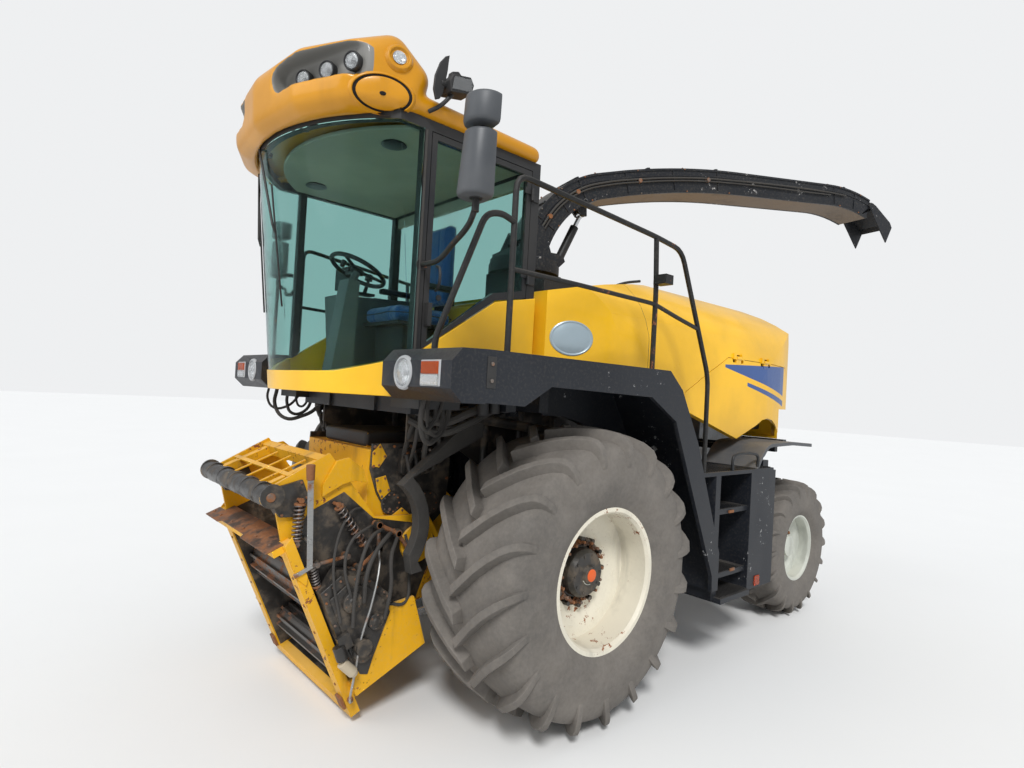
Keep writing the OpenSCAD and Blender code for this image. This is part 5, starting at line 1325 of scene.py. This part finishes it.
def spout_line(d):
    """Points along the spout's top in its own frame, a depth d inside it."""
    rise, sweep, straight, tip = 1020, 9000, 1400, 2200
    rise_at = (rise - 130, 2990)
    slope, shallow, droop = radians(18), radians(7), -12
    rise_end = (rise_at[0] - rise * sin(slope), rise_at[1] + rise * cos(slope))
    sweep_at = (rise_end[0] + sweep * sin(slope), rise_end[1] - sweep * cos(slope))
    sweep_end = (sweep_at[0] - sweep * sin(shallow), sweep_at[1] + sweep * cos(shallow))
    start = (sweep_end[0] + straight * cos(shallow), sweep_end[1] + straight * sin(shallow))
    tip_at = (start[0] + tip * sin(shallow), start[1] - tip * cos(shallow))
    line = (arc(rise_at, rise - d, 162, 108, 14) + arc(sweep_at, sweep - d, 106, 97, 10)
            + arc(tip_at, tip - d, 97, 90 + droop, 8))
    return [Vector(point) for point in line]


class OBJECT_OT_spout_trim(bpy.types.Operator):
    """Flanges, ribs, clamps, wear liner and hydraulic pipes along the spout"""
    bl_idname = "harvester.spout_trim"
    bl_label = "Spout trim"

    def execute(self, context):
        rails, pipes, liner, bolts = blanks(4)
        count = len(spout_line(0))
        for side in BOTH:
            for d0, d1, out in ((0, 20, 8), (60, 74, 6), (206, 226, 8)):
                flange = spout_line(d0) + spout_line(d1)[::-1]
                upright(rails, flange, side * 169.5, side * (170 + out))
            for k in range(3, count - 3, 4):
                a, b = spout_line(14)[k], spout_line(212)[k]
                half = Vector((b.y - a.y, a.x - b.x)).normalized() * 5
                upright(rails, [a - half, a + half, b + half, b - half], side * 169.5, side * 177)
                for d in (10, 216):
                    pin(bolts, side, *spout_line(d)[k + 1], 176, 185, 8, 7, 6)
            for line, radius in ((spout_line(92)[2:-5:3], 9), (spout_line(118)[2:-8:3], 7)):
                pipe(pipes, [(x, side * 186, z) for x, z in line], radius)
            for k in range(4, count - 8, 6):
                pin(bolts, side, *spout_line(104)[k], 170, 198, 22, 20, 12)
        # Stiffeners across the top, and the dusty liner that closes the underside
        for k in range(2, count - 2, 3):
            at, ahead = spout_line(-4)[k:k + 2]
            way = (ahead - at).normalized()
            out = Vector((-way.y, way.x))
            for y in (-150, 150):
                rod(bolts, (at.x, y, at.y - 4), (at.x + out.x * 9, y, at.y + out.y * 9), 8, 7, 6)
            if k % 2:
                edge = [at - way * 16 - out * 5, at + way * 16 - out * 5, at + way * 16 + out * 10,
                        at - way * 16 + out * 10]
                upright(rails, edge, -166, 166)
        upright(liner, spout_line(219)[8:] + spout_line(223)[:7:-1], -157, 157)
        piece("spout_rails", rails, "spout", 1.2, "spout", TURRET)
        piece("spout_pipes", pipes, "rubber", 0, "spout", TURRET)
        piece("spout_liner", liner, "dusty", 0, "spout", TURRET)
        piece("spout_bolts", bolts, "rusty", 0.8, "spout", TURRET)
        return {"FINISHED"}


# Radius and path of the looped hoses under the nose and of the pipes over the front tyre
BODY_HOSES = (
    (12, (1000, 1000, 1936), (1004, 1010, 1820), (960, 1000, 1740), (880, 960, 1760), (840, 920, 1860),
     (836, 900, 1936)),
    (15, (1070, 1060, 1938), (1080, 1060, 1800), (1010, 1020, 1700), (900, 960, 1720), (800, 900, 1800),
     (760, 880, 1938)),
    (9, (960, 940, 1940), (962, 930, 1850), (930, 920, 1800), (890, 910, 1830), (880, 900, 1940)),
    (10, (1110, 1130, 1940), (1120, 1120, 1850), (1080, 1090, 1780), (1000, 1040, 1790), (930, 1010, 1860),
     (900, 1000, 1940)),
    (26, (880, 700, 1860), (800, 840, 1800), (640, 900, 1860), (450, 880, 1930), (260, 860, 1990)),
    (22, (900, 660, 1800), (780, 800, 1730), (620, 860, 1790), (420, 840, 1870), (240, 820, 1930)),
)
# Side view of the plates behind the wheels, whose black is partly machinery and partly painted shade of the dark
# engine bay
UNDERBODY_SHADE_PLATE = [
    (880, 1660), (880, 1935), (240, 2040), (80, 2160), (-480, 2160), (-640, 2050), (-1180, 1930),
    (-1960, 1700), (-2300, 1500), (-2300, 1240), (-420, 1240), (-300, 1480), (300, 1500), (560, 1660),
]


class OBJECT_OT_body_trim(bpy.types.Operator):
    """Name plates, hoses, latches, gratings, seals and lamps on the hood, ladder and cab"""
    bl_idname = "harvester.body_trim"
    bl_label = "Body trim"

    def execute(self, context):
        plates, dark, rubber, pale, orange, steel, slate, under = blanks(8)
        hood = surface_of("hood")
        for side in BOTH:
            # Blank oval plate on the hood's shoulder
            rim = [(0, 7), (0.80, 6.5), (0.84, 4), (0.88, 4), (0.93, 7), (0.99, 4), (1.0, -2)]
            draped(plates, hood, (-66, side * 1057, 2384), (0.498, side * 0.867, 0), 152, 118, rim)
            # Lens of the rail lamp, latches of the nose
            block(pale, (-404, side * 1552 - 46, 2744), (-396, side * 1552 + 46, 2796))
            block(dark, (985, side * 1550 - 4, 2012), (1041, side * 1550 + 4, 2166))
            for z in (2130, 2048):
                pin(steel, side, 1013, z, 1552, 1560, 10)
            # Hoses, their cover and stacked filters between the tyre and the cab
            hoses(rubber, side, BODY_HOSES)
            block(dark, (780, side * 700, 1880), (1060, side * 1000, 1938))
            y, r = side * 985, 34
            for x, z in ((600, 1975), (515, 1985), (430, 1995)):
                rod(dark, (x - 8, y, z - 120), (x, y, z), r)
                rod(steel, (x, y, z), (x + 1, y, z + 14), r * 0.6)
                rod(dark, (x, y, z + 10), (x + 2, y, z + 150), r * 0.55)
            # Rubber along the windshield's sides
            hoses(rubber, side, ((8, (1046, 905, 2196), (1048, 907, 2800), (1050, 909, 3450)),))
            # Plates, tanks and pipes between the wheels that close the view through the machine; they stand in for
            # machinery, and their black is partly painted shade of the deep shade under the hood
            upright(under, UNDERBODY_SHADE_PLATE, side * 585, side * 600)
            block(under, (-1180, side * 600, 1260), (-700, side * 790, 1700))
            rod(under, (-620, side * 690, 1330), (240, side * 690, 1560), 46)
            rod(under, (-560, side * 720, 1700), (420, side * 720, 1820), 34)
            for x in (-380, -60, 260):
                rod(under, (x, side * 600, 1300), (x, side * 600, 2100), 30)
            for k in range(4):
                hoses(rubber, side, ((
                    14 - k, (700, 640 + 18 * k, 1860 - 34 * k), (380, 660 + 16 * k, 1900 - 40 * k),
                    (60, 650 + 18 * k, 2010 - 44 * k), (-420, 650 + 14 * k, 2030 - 60 * k),
                    (-760, 660 + 10 * k, 1880 - 50 * k)),))
        # Steps of the ladder and the platform's grating
        for z in (582, 732, 1212):
            for x in range(-1690, -1290, 28):
                block(dark, (x, 1190, z), (x + 8, 1540 if z < 600 else 1465, z + 5))
        for x in range(-2130, -1070, 34):
            block(dark, (x, 920, 1500.4), (x + 8, 1480, 1506))
        block(orange, (-1968, 1500.4, 560), (-1886, 1508, 636))
        for x, z in ((-1513, 1184), (-1572, 732)):
            block(steel, (x - 34, 1470, z - 10), (x + 34, 1482, z + 10))
        rail = [(-1480, 1500), (-1480, 1590), (-1500, 1612), (-1860, 1612), (-1880, 1590), (-1880, 1500)]
        pipe(dark, [(x, 1490, z) for x, z in rail], 12)
        # Grab handle and keyhole of the door
        pipe(dark, [(930, 903, 2560), (938, 940, 2572), (938, 944, 2680), (930, 903, 2700)], 9)
        rod(dark, (910, 902, 2520), (910, 914, 2520), 17)
        # Box and hold-down bar on the hood beside the spout
        block(slate, (-681, 430, 2770), (-230, 600, 2875))
        pipe(slate, [(-1083, 520, 2936), (-1280, 520, 3010), (-1489, 520, 3060)], 13)
        for name, bm, look, bevel in (
            ("name_plates", plates, "badge", 0.8), ("underbody_and_shade", under, "iron", 5),
            ("body_fittings", dark, "plastic", 1.5), ("body_hoses", rubber, "rubber", 0),
            ("rail_lamp_lenses", pale, "lamp", 1.5), ("ladder_lamp", orange, "amber", 2),
            ("body_bolts", steel, "rusty", 1), ("hood_boxes", slate, "slate", 6),
        ):
            piece(name, bm, look, bevel)
        return {"FINISHED"}


class VIEW3D_PT_harvester(bpy.types.Panel):
    bl_label = "Forage harvester"
    bl_space_type = "VIEW_3D"
    bl_region_type = "UI"
    bl_category = "Harvester"

    def draw(self, context):
        column = self.layout.column()
        for group in (context.scene.harvester_colours, context.scene.harvester_sizes):
            for key in group.__annotations__:
                column.prop(group, key)
        for kind in OPERATORS:
            column.operator(kind.bl_idname)


OPERATORS = (
    OBJECT_OT_stage, OBJECT_OT_surfaces, OBJECT_OT_tyres, OBJECT_OT_wheel_trim, OBJECT_OT_roof,
    OBJECT_OT_mirrors, OBJECT_OT_seat, OBJECT_OT_cab_inside, OBJECT_OT_intake_trim,
    OBJECT_OT_housing_trim, OBJECT_OT_lamps, OBJECT_OT_spout_trim, OBJECT_OT_body_trim,
)
CLASSES = (HarvesterColours, HarvesterSizes, *OPERATORS, VIEW3D_PT_harvester)


def register():
    for kind in CLASSES:
        bpy.utils.register_class(kind)
    bpy.types.Scene.harvester_colours = bpy.props.PointerProperty(type=HarvesterColours)
    bpy.types.Scene.harvester_sizes = bpy.props.PointerProperty(type=HarvesterSizes)


def unregister():
    del bpy.types.Scene.harvester_colours
    del bpy.types.Scene.harvester_sizes
    for kind in reversed(CLASSES):
        bpy.utils.unregister_class(kind)


def main():
    register()
    for kind in OPERATORS:
        group, name = kind.bl_idname.split(".")
        getattr(getattr(bpy.ops, group), name)()


if __name__ == "__main__":
    main()
